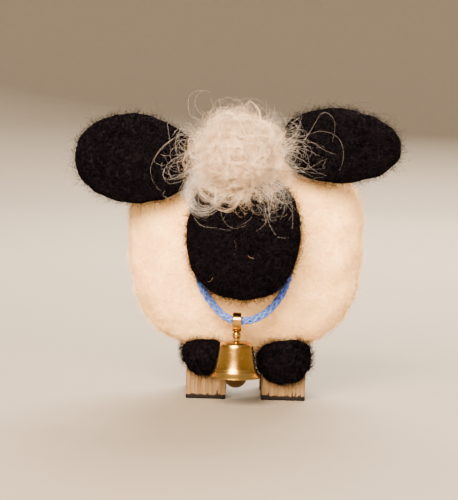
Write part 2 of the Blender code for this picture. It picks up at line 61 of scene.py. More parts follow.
# %% [markdown]
# ## The camera
#
# The photograph was taken from straight in front and a little above. The camera could be
# moved by eye until the outlines agree. It is placed by numbers instead: a point on the
# sheep's chest, a distance, a height angle, and how many pixels one metre covers there.

# %% The camera
MM = 0.001
BODY_PLACE = Vector((0.0020, 0.0062, 0.0006))
CAMERA_TARGET = BODY_PLACE + Vector((-0.0034, -0.0160, 0.0297))
CAMERA_DISTANCE = 0.33
CAMERA_ABOVE_DEG = 4.0
CAMERA_ROLL_DEG = 1.5
PIXELS_PER_METRE = 5150
IMAGE_HEIGHT = 500
SENSOR_HEIGHT = 24.0


def linked(obj):
    bpy.context.scene.collection.objects.link(obj)
    return obj


def aim_camera():
    data = bpy.data.cameras.new("camera")
    camera = linked(bpy.data.objects.new("camera", data))
    above = math.radians(CAMERA_ABOVE_DEG)
    back = Vector((0, -math.cos(above), math.sin(above))) * CAMERA_DISTANCE
    camera.location = CAMERA_TARGET + back
    roll = Quaternion((0, 0, 1), math.radians(CAMERA_ROLL_DEG))
    camera.rotation_euler = ((-back).to_track_quat("-Z", "Y") @ roll).to_euler()
    data.sensor_fit = "VERTICAL"
    data.sensor_height = SENSOR_HEIGHT
    data.lens = SENSOR_HEIGHT * CAMERA_DISTANCE * PIXELS_PER_METRE / IMAGE_HEIGHT
    bpy.context.scene.camera = camera
    return camera


camera = aim_camera()
print("the lens is", round(camera.data.lens, 1), "mm")

# %% [markdown]
# ## Writing node trees in Python
#
# Both the wool recipes and the finishes below are node trees. They could be wired by hand in
# an editor, but a tree that is written down can be read and repeated. One small class wraps
# a socket, so that sums are written as Python sums, and another adds nodes.

# %% Two helpers for node trees
class Value:
    """An output socket that can be used in sums."""

    def __init__(self, nodes, socket):
        self.nodes = nodes
        self.socket = socket

    def other(self, output):
        """Another output of the same node."""
        return Value(self.nodes, self.socket.node.outputs[output])

    def __add__(self, other):
        return self.nodes.maths("ADD", self, other)

    def __sub__(self, other):
        return self.nodes.maths("SUBTRACT", self, other)

    def __rsub__(self, other):
        return self.nodes.maths("SUBTRACT", other, self)

    def __mul__(self, other):
        return self.nodes.maths("MULTIPLY", self, other)

    def __truediv__(self, other):
        return self.nodes.maths("DIVIDE", self, other)

    def __pow__(self, other):
        return self.nodes.maths("POWER", self, other)

    def __rtruediv__(self, other):
        return self.nodes.maths("DIVIDE", other, self)

    __radd__ = __add__
    __rmul__ = __mul__

    def ramp(self, low, high):
        """0 below low, 1 above high, and smooth between them."""
        settings = {"interpolation_type": "SMOOTHSTEP"}
        return self.nodes.add("ShaderNodeMapRange", settings, {0: self, 1: low, 2: high})


class Nodes:
    """Adds nodes to a tree: first a node's settings, then its inputs."""

    def __init__(self, tree):
        self.tree = tree

    def add(self, kind, settings=None, inputs=None, output=0):
        node = self.tree.nodes.new(kind)
        for name, setting in (settings or {}).items():
            setattr(node, name, setting)
        for name, value in (inputs or {}).items():
            self.feed(node.inputs[name], value)
        return Value(self, node.outputs[output]) if node.outputs else node

    def feed(self, socket, value):
        if isinstance(value, Value):
            self.tree.links.new(value.socket, socket)
        else:
            socket.default_value = value

    def maths(self, operation, first, second=0.0):
        return self.add("ShaderNodeMath", {"operation": operation}, {0: first, 1: second})

    def vectors(self, operation, first, second=(0, 0, 0)):
        return self.add("ShaderNodeVectorMath", {"operation": operation}, {0: first, 1: second})

    def stretched(self, vector, amount):
        """A vector times a number."""
        return self.add("ShaderNodeVectorMath", {"operation": "SCALE"}, {0: vector, 3: amount})

    def noise(self, place, size, detail=3.0, distortion=0.0, output=0):
        """Noise whose patches are about size metres across."""
        inputs = {"Vector": place, "Scale": 1 / size, "Detail": detail, "Distortion": distortion}
        return self.add("ShaderNodeTexNoise", None, inputs, output)


print("sums on sockets can use + - * / and **")

# %% [markdown]
# ## The collar's line
#
# The collar is a ring of thin cord that comes round the neck behind the head and hangs in
# a bow on the chest. A bow could be simulated as a rope, but the photograph shows where it
# lies, so its route is a short list of points, the same ones as in the part's own source,
# with a smooth Catmull-Rom curve drawn through them.

# %% The collar's route
CORD_ROUTE = [
    (-0.0005, -0.0140, 0.0425),
    (0.0040, -0.0141, 0.0411),
    (0.0074, -0.0146, 0.0374),
    (0.0084, -0.0150, 0.0328),
    (0.0085, -0.0152, 0.0286),
    (0.0083, -0.0154, 0.0248),
    (0.0073, -0.0158, 0.0217),
    (0.0057, -0.0163, 0.0193),
    (0.0038, -0.0169, 0.0175),
    (0.0016, -0.0173, 0.0164),
    (-0.0003, -0.0174, 0.0161),
    (-0.0015, -0.0174, 0.0161),
    (-0.0027, -0.0174, 0.0163),
    (-0.0046, -0.0170, 0.0174),
    (-0.0065, -0.0164, 0.0194),
    (-0.0083, -0.0158, 0.0219),
    (-0.0092, -0.0154, 0.0248),
    (-0.0097, -0.0152, 0.0286),
    (-0.0096, -0.0150, 0.0328),
    (-0.0086, -0.0146, 0.0374),
    (-0.0056, -0.0141, 0.0411),
    (-0.0011, -0.0140, 0.0425),
]
CORD_STEPS = 6


def through(before, start, end, after, share):
    """A point of the Catmull-Rom curve between start and end."""
    straight = 2 * start + (end - before) * share
    bent = (2 * before - 5 * start + 4 * end - after) * share**2
    twisted = (3 * start - before - 3 * end + after) * share**3
    return 0.5 * (straight + bent + twisted)


def smooth_line(route, steps):
    """The route's points with steps smooth pieces between each two of them."""
    stops = [Vector(point) + BODY_PLACE for point in route]
    stops = [2 * stops[0] - stops[1]] + stops + [2 * stops[-1] - stops[-2]]
    line = []
    for four in zip(stops, stops[1:], stops[2:], stops[3:]):
        line += [through(*four, step / steps) for step in range(steps)]
    return line + [stops[-2]]


def line_length(points):
    return sum((end - start).length for start, end in zip(points, points[1:]))


collar_line = smooth_line(CORD_ROUTE, CORD_STEPS)
collar_length = line_length(collar_line)
print("the collar cord is", round(1000 * collar_length, 1), "mm long")

# %% [markdown]
# ## Growing pieces with Geometry Nodes
#
# Braid, fuzz and curls are all one thing many times over, along a line or over a surface.
# Each is a Geometry Nodes recipe with named inputs. `grow` puts a recipe on an object, sets
# its inputs, and keeps the result as a plain mesh, so nothing stays live in the scene.

# %% Recipes and how they grow
class Recipe(Nodes):
    """A Geometry Nodes tree whose inputs are named after what they set."""

    KINDS = {int: "NodeSocketInt", float: "NodeSocketFloat"}

    def __init__(self, name, **defaults):
        super().__init__(bpy.data.node_groups.new(name, "GeometryNodeTree"))
        face = self.tree.interface
        face.new_socket("Geometry", in_out="INPUT", socket_type="NodeSocketGeometry")
        face.new_socket("Geometry", in_out="OUTPUT", socket_type="NodeSocketGeometry")
        for label, default in defaults.items():
            kind = self.KINDS[type(default)]
            face.new_socket(label, in_out="INPUT", socket_type=kind).default_value = default
        face.new_socket("Finish", in_out="INPUT", socket_type="NodeSocketMaterial")
        self.given = self.add("NodeGroupInput")

    def strands(self, curves, radius, sides, tip):
        """Closed tubes along the curves that taper to tip times their thickness."""
        along = self.add("GeometryNodeSplineParameter")
        ring = self.add(
            "GeometryNodeCurvePrimitiveCircle", None, {"Resolution": sides, "Radius": radius}
        )
        taper = 1 - along * along * (1 - tip)
        parts = {"Curve": curves, "Profile Curve": ring, "Scale": taper, "Fill Caps": True}
        return self.add("GeometryNodeCurveToMesh", None, parts)

    def finish(self, geometry):
        """Every recipe ends in Realize Instances and Set Material."""
        real = self.add("GeometryNodeRealizeInstances", None, {"Geometry": geometry})
        parts = {"Geometry": real, "Material": self.given.other("Finish")}
        done = self.add("GeometryNodeSetMaterial", None, parts)
        self.add("NodeGroupOutput", None, {"Geometry": done})


def print_size(name, mesh):
    print(name, "has", sum(len(face.vertices) - 2 for face in mesh.polygons), "triangles")


def smooth_object(bm, name, finish=None):
    """A smooth object from an edited mesh, which is freed."""
    mesh = bpy.data.meshes.new(name)
    bm.to_mesh(mesh)
    bm.free()
    if finish:
        mesh.materials.append(finish)
    mesh.shade_smooth()
    return linked(bpy.data.objects.new(name, mesh))


def evaluated_mesh(obj):
    bpy.context.view_layer.update()
    graph = bpy.context.evaluated_depsgraph_get()
    return bpy.data.meshes.new_from_object(obj.evaluated_get(graph))


def grow(recipe, source, name, **inputs):
    """A new plain mesh object, grown by the recipe on the source object."""
    modifier = source.modifiers.new("grow", "NODES")
    modifier.node_group = recipe.tree
    for item in recipe.tree.interface.items_tree:
        if item.in_out == "INPUT" and item.name in inputs:
            modifier[item.identifier] = inputs[item.name]
    mesh = evaluated_mesh(source)
    source.modifiers.remove(modifier)
    print_size(name, mesh)
    return linked(bpy.data.objects.new(name, mesh))


print("every recipe ends in Realize Instances and Set Material")

# %% [markdown]
# ## Finishes
#
# Felt is matt. Its colour drifts a little from place to place, because wool is carded from
# many fleeces, and its surface is a mat of fine fibres that a bump pattern can show. The
# patterns could be painted as images. Noise on the piece's own coordinates is used instead,
# since it has no seams and its sizes can be given in real millimetres.

# %% A finish and its common parts
class Finish(Nodes):
    """A Principled material, with its constant values set on the shader's own sockets."""

    def __init__(self, name, **constants):
        material = bpy.data.materials.new(name)
        material.use_nodes = True
        super().__init__(material.node_tree)
        self.material = material
        self.shader = material.node_tree.nodes["Principled BSDF"]
        for label, value in constants.items():
            self.shader.inputs[label.replace("_", " ")].default_value = value
        self.place = self.add("ShaderNodeTexCoord", output="Object")

    def blend(self, share, first, second):
        inputs = {0: share, 6: first, 7: second}
        return self.add("ShaderNodeMix", {"data_type": "RGBA"}, inputs, output=2)

    def paint(self, **inputs):
        for label, value in inputs.items():
            self.feed(self.shader.inputs[label.replace("_", " ")], value)

    def bump(self, height, depth, strength):
        inputs = {"Height": height, "Distance": depth, "Strength": strength}
        self.paint(Normal=self.add("ShaderNodeBump", None, inputs))

    def grain(self, stretch, size, detail):
        """Noise that is drawn out along an axis by a Mapping node."""
        place = self.add("ShaderNodeMapping", None, {"Vector": self.place, "Scale": stretch})
        return self.noise(place, size, detail)


print("a finish starts as a Principled material")

# %% [markdown]
# Felt and loose wool share their colours, but not their light. Felt gets none of the shine
# that a single fibre has, because its fibres lie in all directions.

# %% Felt and wool
CLOUD_SIZE = 0.0055
MAT_SIZE = 0.0006
FIBRE_SIZE = 0.00022
FELT_DEPTH = 0.0003
FLEECE_SIZE = 0.0016


def felt_finish(name, shade, middle, light, sheen):
    """Matt felt: clouds from shade to middle, and a mat of light fibres over them."""
    finish = Finish(
        name, Roughness=0.95, Specular_IOR_Level=0.0, Sheen_Weight=sheen, Sheen_Roughness=0.5
    )
    clouds = finish.noise(finish.place, CLOUD_SIZE).ramp(0.32, 0.68)
    mat = finish.noise(finish.place, MAT_SIZE, detail=5.0, distortion=1.2)
    fibres = finish.noise(finish.place, FIBRE_SIZE, detail=4.0, distortion=1.5)
    colour = finish.blend(clouds, shade, middle)
    finish.paint(Base_Color=finish.blend(mat.ramp(0.42, 0.75), colour, light))
    finish.bump(mat + fibres * 0.6, FELT_DEPTH, strength=0.7)
    return finish.material


def wool_finish(name, shade, light, shine, sheen):
    """Loose fibres: the colour changes from one to the next."""
    finish = Finish(
        name, Roughness=0.6, Specular_IOR_Level=shine, Sheen_Weight=sheen, Sheen_Roughness=0.4
    )
    drift = finish.noise(finish.place, FLEECE_SIZE).ramp(0.3, 0.7)
    finish.paint(Base_Color=finish.blend(drift, shade, light))
    return finish.material


cream_felt = felt_finish(
    "cream_felt", (0.86, 0.49, 0.19, 1), (0.98, 0.64, 0.285, 1), (1.0, 0.745, 0.375, 1), 0.05
)
black_felt = felt_finish(
    "black_felt", (0.0006, 0.0005, 0.0009, 1), (0.0014, 0.0011, 0.0018, 1),
    (0.006, 0.005, 0.007, 1), 0.0,
)
WOOLS = [
    # name, shade, light, shine, sheen
    ("cream_fuzz", (0.96, 0.61, 0.27, 1), (1.0, 0.76, 0.39, 1), 0.1, 0.0),
    ("black_fuzz", (0.0015, 0.0012, 0.0018, 1), (0.006, 0.0048, 0.006, 1), 0.02, 0.0),
    # painted light: one curly wool in two copies, the first darker as painted shade in the mass,
    # the second lighter as painted light on the streaks
    ("curly_wool", (0.42, 0.29, 0.17, 1), (0.77, 0.59, 0.40, 1), 0.3, 0.05),
    ("bright_wool", (0.62, 0.48, 0.33, 1), (0.92, 0.76, 0.56, 1), 0.3, 0.05),
    ("loose_wool", (0.36, 0.34, 0.33, 1), (0.66, 0.63, 0.61, 1), 0.3, 0.05),
]
cream_fuzz, black_fuzz, curly_wool, bright_wool, loose_wool = [wool_finish(*row) for row in WOOLS]
print("2 felt and", len(WOOLS), "wool finishes are ready")

# %% [markdown]
# ## Felt skins
#
# A felted piece is wool that a barbed needle has matted into a firm lump. It could be made
# from a sphere again, but its place is already in the solid, so the skin starts as a copy of
# that. Its loose triangles are merged and rounded by a subdivision, a voxel remesh gives it
# even faces, and then each point moves in or out a little: long soft lumps, and small pits
# where the needle went in.

# %% A felt skin from a solid
MERGE_GAP = 1e-6
ROUNDING_LEVELS = 2
PIT_SIZE = 0.0011
PIT_DEPTH = 0.00018
PIT_SHIFT = Vector((7, 3, 5))


def copy_of_solid(node):
    """A merged copy of a solid's mesh, as an object of its own."""
    bm = bmesh.new()
    bm.from_mesh(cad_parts[node].data)
    bmesh.ops.remove_doubles(bm, verts=bm.verts, dist=MERGE_GAP)
    bmesh.ops.recalc_face_normals(bm, faces=bm.faces)
    return smooth_object(bm, node + "_copy")


def even_mesh(node, voxel, rounds):
    """The solid's shape, rounded off, in even faces of size voxel."""
    skin = copy_of_solid(node)
    round_off = skin.modifiers.new("round", "SUBSURF")
    round_off.levels = round_off.render_levels = ROUNDING_LEVELS
    even = skin.modifiers.new("even", "REMESH")
    even.mode = "VOXEL"
    even.voxel_size = voxel
    soften = skin.modifiers.new("soften", "SMOOTH")
    soften.iterations = rounds
    mesh = evaluated_mesh(skin)
    bpy.data.objects.remove(skin)
    return mesh


def felt_skin(node, finish, voxel=0.0004, inset=0.0002, lump=0.0003, wide=0.006, rounds=4):
    """The solid's shape in felt: inset under it, with lumps some wide metres across, and pits."""
    mesh = even_mesh(node, voxel, rounds)
    places = [vert.co.copy() for vert in mesh.vertices]
    normals = [normal.vector.copy() for normal in mesh.vertex_normals]
    for vert, place, normal in zip(mesh.vertices, places, normals):
        height = lump * noise.noise(place / wide) - inset
        height -= PIT_DEPTH * max(0.0, noise.noise(place / PIT_SIZE + PIT_SHIFT))
        vert.co = place + normal * height
    mesh.materials.clear()
    mesh.materials.append(finish)
    mesh.shade_smooth()
    print_size(node + "_felt", mesh)
    return linked(bpy.data.objects.new(node + "_felt", mesh))


EARS = ("ear_right", "ear_left")
KNEES = ("knee_front_right", "knee_front_left", "knee_rear_right", "knee_rear_left")
skins = {"torso": felt_skin("torso", cream_felt, voxel=0.0005, lump=0.0007, wide=0.005)}
for node in ("neck", "tail"):
    skins[node] = felt_skin(node, cream_felt)
skins["head"] = felt_skin("head", black_felt, wide=0.0026)
for node in EARS + KNEES:
    skins[node] = felt_skin(node, black_felt, inset=0.0001, lump=0.00025, wide=0.0024, rounds=16)

# %% [markdown]
# ## Fuzz
#
# Felt is hairy: most fibres lie matted on the surface and a few stand out, and against the
# light they make a soft halo. Particle hair could make them, but it is lost on export. So
# the recipe scatters points over a skin, stands a bent line on each, leans it towards the
# surface by a random amount, and sweeps a three-sided tube along it.

# %% The fuzz recipe
FIBRE_SIDES = 3


def fuzz_recipe():
    sheet = Recipe(
        "fuzz", Density=1e6, Points=5, Length=0.002, Radius=0.00003, Lift=0.5, Calm=2.2, Sweep=0.5,
        Seed=1,
    )
    given = sheet.given
    parts = {"Mesh": given.other("Geometry"), "Density": given.other("Density")}
    parts["Seed"] = given.other("Seed")
    points = sheet.add("GeometryNodeDistributePointsOnFaces", None, parts)
    normal = points.other("Normal")

    def chance(low, high, offset):
        """A random number for each fibre, with a seed of its own."""
        inputs = {2: low, 3: high, 8: given.other("Seed") + offset}
        return sheet.add("FunctionNodeRandomValue", {"data_type": "FLOAT"}, inputs, output=1)

    inputs = {0: (-1.0, -1.0, -1.0), 1: (1.0, 1.0, 1.0), 8: given.other("Seed") + 11}
    anywhere = sheet.add("FunctionNodeRandomValue", {"data_type": "FLOAT_VECTOR"}, inputs)
    along = sheet.vectors("NORMALIZE", sheet.vectors("CROSS_PRODUCT", normal, anywhere))
    lift = given.other("Lift") * chance(0.15, 1.0, 21) ** given.other("Calm")
    way = sheet.vectors("ADD", along, sheet.stretched(normal, lift))
    axes = {"primary_axis": "Z", "secondary_axis": "X"}
    inputs = {"Primary Axis": way, "Secondary Axis": normal}
    turn = sheet.add("FunctionNodeAxesToRotation", axes, inputs)
    length = given.other("Length") * chance(0.45, 1.25, 31)
    sweep = given.other("Sweep") * length * chance(-1.0, 1.0, 41)
    bulge = length * chance(-0.05, 0.30, 51)
    size = sheet.add("ShaderNodeCombineXYZ", None, {0: bulge, 1: sweep, 2: length})
    line = sheet.add("GeometryNodeCurvePrimitiveLine", None, {"End": (0.0, 0.0, 1.0)})
    inputs = {"Curve": line, "Count": given.other("Points")}
    line = sheet.add("GeometryNodeResampleCurve", None, inputs)
    share = sheet.add("GeometryNodeSplineParameter")
    inputs = {0: share * (1 - share) * 4, 1: share * share, 2: share}
    bent = sheet.add("ShaderNodeCombineXYZ", None, inputs)
    line = sheet.add("GeometryNodeSetPosition", None, {"Geometry": line, "Position": bent})
    inputs = {"Points": points, "Instance": line, "Rotation": turn, "Scale": size}
    fibres = sheet.add("GeometryNodeInstanceOnPoints", None, inputs)
    fibres = sheet.add("GeometryNodeRealizeInstances", None, {"Geometry": fibres})
    sheet.finish(sheet.strands(fibres, given.other("Radius"), FIBRE_SIDES, 0.45))
    return sheet


fuzz = fuzz_recipe()
print("the fuzz recipe has", len(fuzz.tree.nodes), "nodes")

# %% [markdown]
# ## A map for the coat
#
# When the model is exported, its colours are baked on to a flat map. A fibre is far too thin
# to have room of its own there, so each one gets a patch 0.003 wide, at the place that its
# root has when the skin itself is unrolled like a globe.

# %% The coat's map
PATCH = 0.003


def map_coat(coat, centre, half, points):
    """Lays each fibre of points rings on a patch at its root's place on the unrolled skin."""
    mesh = coat.data
    count = len(mesh.vertices)
    places = np.empty(count * 3, np.float32)
    mesh.vertices.foreach_get("co", places)
    per_fibre = points * FIBRE_SIDES
    assert count % per_fibre == 0, (coat.name, count, per_fibre)
    roots = places.reshape(-1, per_fibre, 3)[:, :FIBRE_SIDES].mean(axis=1)
    ways = (roots - np.array(centre)) / np.array(half)
    ways /= np.linalg.norm(ways, axis=1, keepdims=True)
    around = np.arctan2(ways[:, 0], -ways[:, 1]) / (2 * math.pi) + 0.5
    down = np.arccos(np.clip(ways[:, 2], -1, 1)) / math.pi
    root_place = np.stack([around, down], axis=1) * (1 - 2 * PATCH) + PATCH
    along = np.repeat(np.arange(points), FIBRE_SIDES) / (points - 1) - 0.5
    across = np.tile(np.arange(FIBRE_SIDES), points) / FIBRE_SIDES - 0.5
    patch = np.stack([across, along], axis=1) * PATCH
    each = (root_place[:, None, :] + patch[None, :, :]).reshape(-1, 2)
    corners = np.empty(len(mesh.loops), np.int32)
    mesh.loops.foreach_get("vertex_index", corners)
    for layer in list(mesh.uv_layers):
        mesh.uv_layers.remove(layer)
    layer = mesh.uv_layers.new(name="OFBake")
    layer.uv.foreach_set("vector", each[corners].astype(np.float32).ravel())


def middle_and_half(node):
    low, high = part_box(node)
    return (low + high) / 2, (high - low) / 2


def fuzz_coat(node, name, finish, points=4, **sizes):
    """Fuzz grown on a skin, with its map."""
    coat = grow(fuzz, skins[node], name, Finish=finish, Points=points, **sizes)
    map_coat(coat, *middle_and_half(node), points)
    return coat


print("one fibre's patch takes", 100 * PATCH, "% of the map's width")

# %% [markdown]
# ## The fuzz of each piece
#
# The body's fuzz is short and even. The ears carry the longest hairs, up to three
# millimetres, the head has bent hairs over its mat, and the front knees are the densest.
# Short matted fibres and long loose ones are separate layers, because one recipe with one
# length looks combed.

# %% Coats
coats = {}


def add_coat(node, layer, finish, points=4, **sizes):
    coats.setdefault(node, []).append(fuzz_coat(node, f"{node}_{layer}", finish, points, **sizes))


add_coat("torso", "mat", cream_fuzz, Density=1.0e6, Length=0.0015, Lift=0.35, Sweep=0.9, Seed=3)
add_coat(
    "torso", "fuzz", cream_fuzz, Density=1.7e6, Length=0.0014, Lift=1.3, Calm=1.2, Radius=0.000019,
    Seed=4,
)
add_coat("head", "mat", black_fuzz, Density=2.2e6, Length=0.0014, Lift=0.35, Sweep=0.9, Seed=5)
add_coat(
    "head", "fuzz", black_fuzz, Density=2.9e6, Length=0.0013, Lift=1.4, Calm=1.1, Radius=0.000026,
    Seed=6,
)
add_coat(
    "head", "hairs", black_fuzz, 5, Density=1.6e6, Length=0.0019, Lift=1.9, Calm=0.8, Sweep=1.3,
    Radius=0.000022, Seed=8,
)
add_coat("tail", "fuzz", cream_fuzz, Density=2.6e6, Length=0.0018, Lift=0.9, Seed=7)
for number, node in enumerate(EARS):
    seed = 20 + number
    add_coat(
        node, "mat", black_fuzz, Density=5.2e6, Length=0.0013, Lift=1.4, Calm=1.0, Sweep=0.9,
        Radius=0.000025, Seed=seed,
    )
    add_coat(
        node, "fuzz", black_fuzz, 5, Density=1.3e6, Length=0.0025, Lift=1.5, Calm=1.4, Sweep=1.2,
        Radius=0.000018, Seed=seed + 9,
    )
for number, node in enumerate(KNEES):
    dense = 6.5e6 if "front" in node else 4e6
    add_coat(
        node, "fuzz", black_fuzz, Density=dense, Length=0.0015, Lift=1.4, Calm=1.1,
        Radius=0.000025, Seed=40 + number,
    )
print("felt pieces with a coat:", ", ".join(coats))

# %% [markdown]
# ## The forelock
#
# The forelock is loose wool, not felt: single fibres that still curl as they did on the
# sheep. They bunch in the middle and loop out over the ears and the forehead. They could be
# drawn one by one, but there are far too many. Instead guide lines are wound first, each
# starting on a small core and curling tighter towards its tip. A recipe then runs a bundle
# of fine strands along every guide, each with a shift and a waviness of its own.

# %% Where the curls lie
CORE_CENTRE = BODY_PLACE + Vector((-0.0020, -0.0204, 0.0474))
CORE_HALF = Vector((0.0066, 0.0052, 0.0064))
CORE_POWER = 2.0
HEAD_CENTRE = BODY_PLACE + Vector((-0.0007, -0.0198, 0.0328))
HEAD_HALF = Vector((0.0112, 0.0054, 0.0126))
HEAD_POWER = 2.3
EARS_BEGIN = 0.0060
BEFORE_EARS = BODY_PLACE.y - 0.0182
LIE_CLEAR = 0.0005


def front_of(point, centre, half, power):
    """How far forward a rounded form reaches at the point's place, or the point's own Y."""
    across, up = abs(point.x - centre.x) / half.x, abs(point.z - centre.z) / half.z
    depth = 1.0 - across**power - up**power
    return centre.y - half.y * depth ** (1 / power) if depth > 0 else point.y


def lie_over(point, layer):
    """The point moved forward, so that a curl lies over the core, the forehead and the ears."""
    over_head = front_of(point, HEAD_CENTRE, HEAD_HALF, HEAD_POWER)
    over_core = front_of(point, CORE_CENTRE, CORE_HALF, CORE_POWER) - layer
    point.y = min(point.y, over_head - LIE_CLEAR, over_core)
    if abs(point.x - CORE_CENTRE.x) > EARS_BEGIN:
        point.y = min(point.y, BEFORE_EARS)
    return point


print("the forelock's core is", round(2 * CORE_HALF.x / MM, 1), "mm wide")

# %% [markdown]
# A guide leaves the core in some direction and turns about one axis as it goes. The turn is
# slow at first and faster later, which is how a lock of wool that has been washed rolls up.

# %% Guide lines for the curls
GUIDE_STEPS = 16
HANDS = (-1, 1)
TIGHTEN = (0.2, 1.2)
ROOT_SINK = 0.001
PUSH_FORWARD = 0.25


def curl_guide(root, out, axis, length, turn, tighten, layer):
    """A line that leaves root along out and turns about axis, faster towards its tip. It is
    laid over the forelock's core, unless it has no layer there."""
    here, way = root.copy(), out.copy()
    points = [here.copy()]
    step = length / GUIDE_STEPS
    total = sum(((index + 0.5) / GUIDE_STEPS) ** tighten for index in range(GUIDE_STEPS))
    for index in range(GUIDE_STEPS):
        rate = turn * ((index + 0.5) / GUIDE_STEPS) ** tighten / total
        way = Quaternion(axis, rate) @ way
        here = here + way * step
        rise = min(1.0, 3 * (index + 1) / GUIDE_STEPS)
        points.append(here.copy() if layer is None else lie_over(here.copy(), layer * rise))
    return points


def way_out(chance, side, spread, forward):
    """A direction that points to one side of the core, side degrees round from the X axis."""
    around = math.radians(side + chance.uniform(-spread, spread))
    ahead = chance.uniform(*forward)
    flat = math.sqrt(1 - ahead**2)
    return Vector((flat * math.cos(around), -ahead, flat * math.sin(around)))


def curl_guides(
    count, seed, lengths, turns, slants, side=90, spread=180, forward=(-0.3, 0.95), tilt=0.45,
    layers=(0.0, 0.0),
):
    """Guides round the core, that lie over it in layers. Without layers they lie as they grow."""
    chance = random.Random(seed)
    guides = []
    for number in range(count):
        way = way_out(chance, side, spread, forward)
        axis = Vector((chance.gauss(0, tilt), -1, chance.gauss(0, tilt))).normalized()
        out = (way - axis * way.dot(axis)).normalized()
        hand = chance.choice(HANDS)
        out = Quaternion(axis, -hand * chance.uniform(*slants)) @ out
        out = (out + Vector((0, -PUSH_FORWARD * max(0.0, -way.y), 0))).normalized()
        root = CORE_CENTRE + Vector(a * b for a, b in zip(way, CORE_HALF)) - out * ROOT_SINK
        turn = hand * math.radians(chance.uniform(*turns))
        length = chance.uniform(*lengths)
        tighten = chance.uniform(*TIGHTEN)
        layer = chance.uniform(*layers) if layers else None
        guides.append(curl_guide(root, out, axis, length, turn, tighten, layer))
    return guides


def guide_object(name, guides):
    curve = bpy.data.curves.new(name, "CURVE")
    curve.dimensions = "3D"
    for points in guides:
        spline = curve.splines.new("POLY")
        spline.points.add(len(points) - 1)
        for slot, point in zip(spline.points, points):
            slot.co = (*point, 1.0)
    return linked(bpy.data.objects.new(name, curve))


print("a guide has", GUIDE_STEPS + 1, "points")

# %% [markdown]
# The recipe copies each guide many times. A copy is shifted by its own random vector, more
# so towards the tip, and a noise field that is different for each copy makes it wavy.

# %% The curl recipe
CURL_POINTS = 15


def curl_recipe():
    mop = Recipe(
        "curls", Strands=10, Points=CURL_POINTS, Spread=0.001, Flare=1.0, Frizz=0.001, Wave=0.003,
        Radius=0.00003, Seed=1,
    )
    given = mop.given
    inputs = {"Geometry": given.other("Geometry"), "Amount": given.other("Strands")}
    copies = mop.add("GeometryNodeDuplicateElements", {"domain": "SPLINE"}, inputs)

    def per_strand(data_type, inputs, output):
        """A random value that is the same all along a strand."""
        value = mop.add("FunctionNodeRandomValue", {"data_type": data_type}, inputs, output)
        settings = {"data_type": data_type, "domain": "CURVE"}
        return mop.add("GeometryNodeFieldOnDomain", settings, {0: value})

    seed = given.other("Seed")
    ends = per_strand("FLOAT", {2: 0.62, 3: 1.0, 8: seed + 5}, 1)
    trimmed = mop.add("GeometryNodeTrimCurve", {"mode": "FACTOR"}, {"Curve": copies, 3: ends})
    inputs = {"Curve": trimmed, "Count": given.other("Points")}
    trimmed = mop.add("GeometryNodeResampleCurve", None, inputs)
    inputs = {0: (-1.0, -1.0, -1.0), 1: (1.0, 1.0, 1.0), 8: seed}
    shift = per_strand("FLOAT_VECTOR", inputs, 0)
    share = mop.add("GeometryNodeSplineParameter")
    spread = given.other("Spread") * (0.35 + share * given.other("Flare"))
    place = mop.add("GeometryNodeInputPosition")
    own = mop.vectors("ADD", place, mop.stretched(shift, 0.05))
    waves = mop.noise(own, given.other("Wave"), detail=1.0, output=1)
    waves = mop.vectors("SUBTRACT", waves, (0.5, 0.5, 0.5))
    frizz = given.other("Frizz") * 2 * (0.2 + share)
    offset = mop.vectors("ADD", mop.stretched(shift, spread), mop.stretched(waves, frizz))
    wavy = mop.add("GeometryNodeSetPosition", None, {"Geometry": trimmed, "Offset": offset})
    mop.finish(mop.strands(wavy, given.other("Radius"), FIBRE_SIDES, 0.4))
    return mop


curls = curl_recipe()
print("the curl recipe has", len(curls.tree.nodes), "nodes")

# %% [markdown]
# ## The forelock's pieces
#
# A mop has no single surface. A small felted root with an undercoat of fuzz stops the dark
# head from showing through. Over it come short curls at the back, a cloud of them all round,
# wisps of two strands, and flyaways so thin that they show against the black felt alone.
# Each is a set of guides with its own lengths, turns and number of strands.

# %% Root, undercoat, cloud, wisps and flyaways
ROOT_SHARE = 0.8
ROOT_ROUGH = 0.1


def rounded_lump(name, centre, half, finish, rough):
    bm = bmesh.new()
    bmesh.ops.create_icosphere(bm, subdivisions=5, radius=1.0)
    for vert in bm.verts:
        unit = vert.co.normalized()
        swell = 1.0 + rough * noise.noise(unit * 4)
        vert.co = centre + Vector(value * size * swell for value, size in zip(unit, half))
    return smooth_object(bm, name, finish)


def curl_piece(name, guides, points=CURL_POINTS, finish=curly_wool, **sizes):
    source = guide_object(name + "_guides", guides)
    piece = grow(curls, source, name, Finish=finish, Points=points, **sizes)
    bpy.data.objects.remove(source)
    map_coat(piece, CORE_CENTRE, CORE_HALF, points)
    return piece


forelock_root = rounded_lump(
    "forelock_root", CORE_CENTRE, CORE_HALF * ROOT_SHARE, curly_wool, ROOT_ROUGH
)
undercoat = grow(
    fuzz, forelock_root, "forelock_undercoat", Finish=curly_wool, Points=7, Density=4e6,
    Length=0.0045, Radius=0.000018, Lift=0.9, Calm=1.0, Sweep=1.6, Seed=12,
)
map_coat(undercoat, CORE_CENTRE, CORE_HALF, 7)
back = curl_guides(
    60, 44, lengths=(0.003, 0.007), turns=(120, 400), slants=(0.2, 1.2), forward=(-0.9, -0.1),
    layers=None,
)
cloud = curl_guides(
    170, 6, lengths=(0.003, 0.008), turns=(40, 320), slants=(0.2, 1.4), tilt=0.5,
    forward=(-0.95, 0.6),
)
wisps = curl_guides(
    90, 8, lengths=(0.006, 0.010), turns=(200, 480), slants=(0.4, 1.3), side=95, spread=130
)
flyaways = curl_guides(
    66, 41, lengths=(0.007, 0.014), turns=(20, 260), slants=(0.0, 0.7), side=-5, spread=48,
    forward=(0.1, 0.7),
)
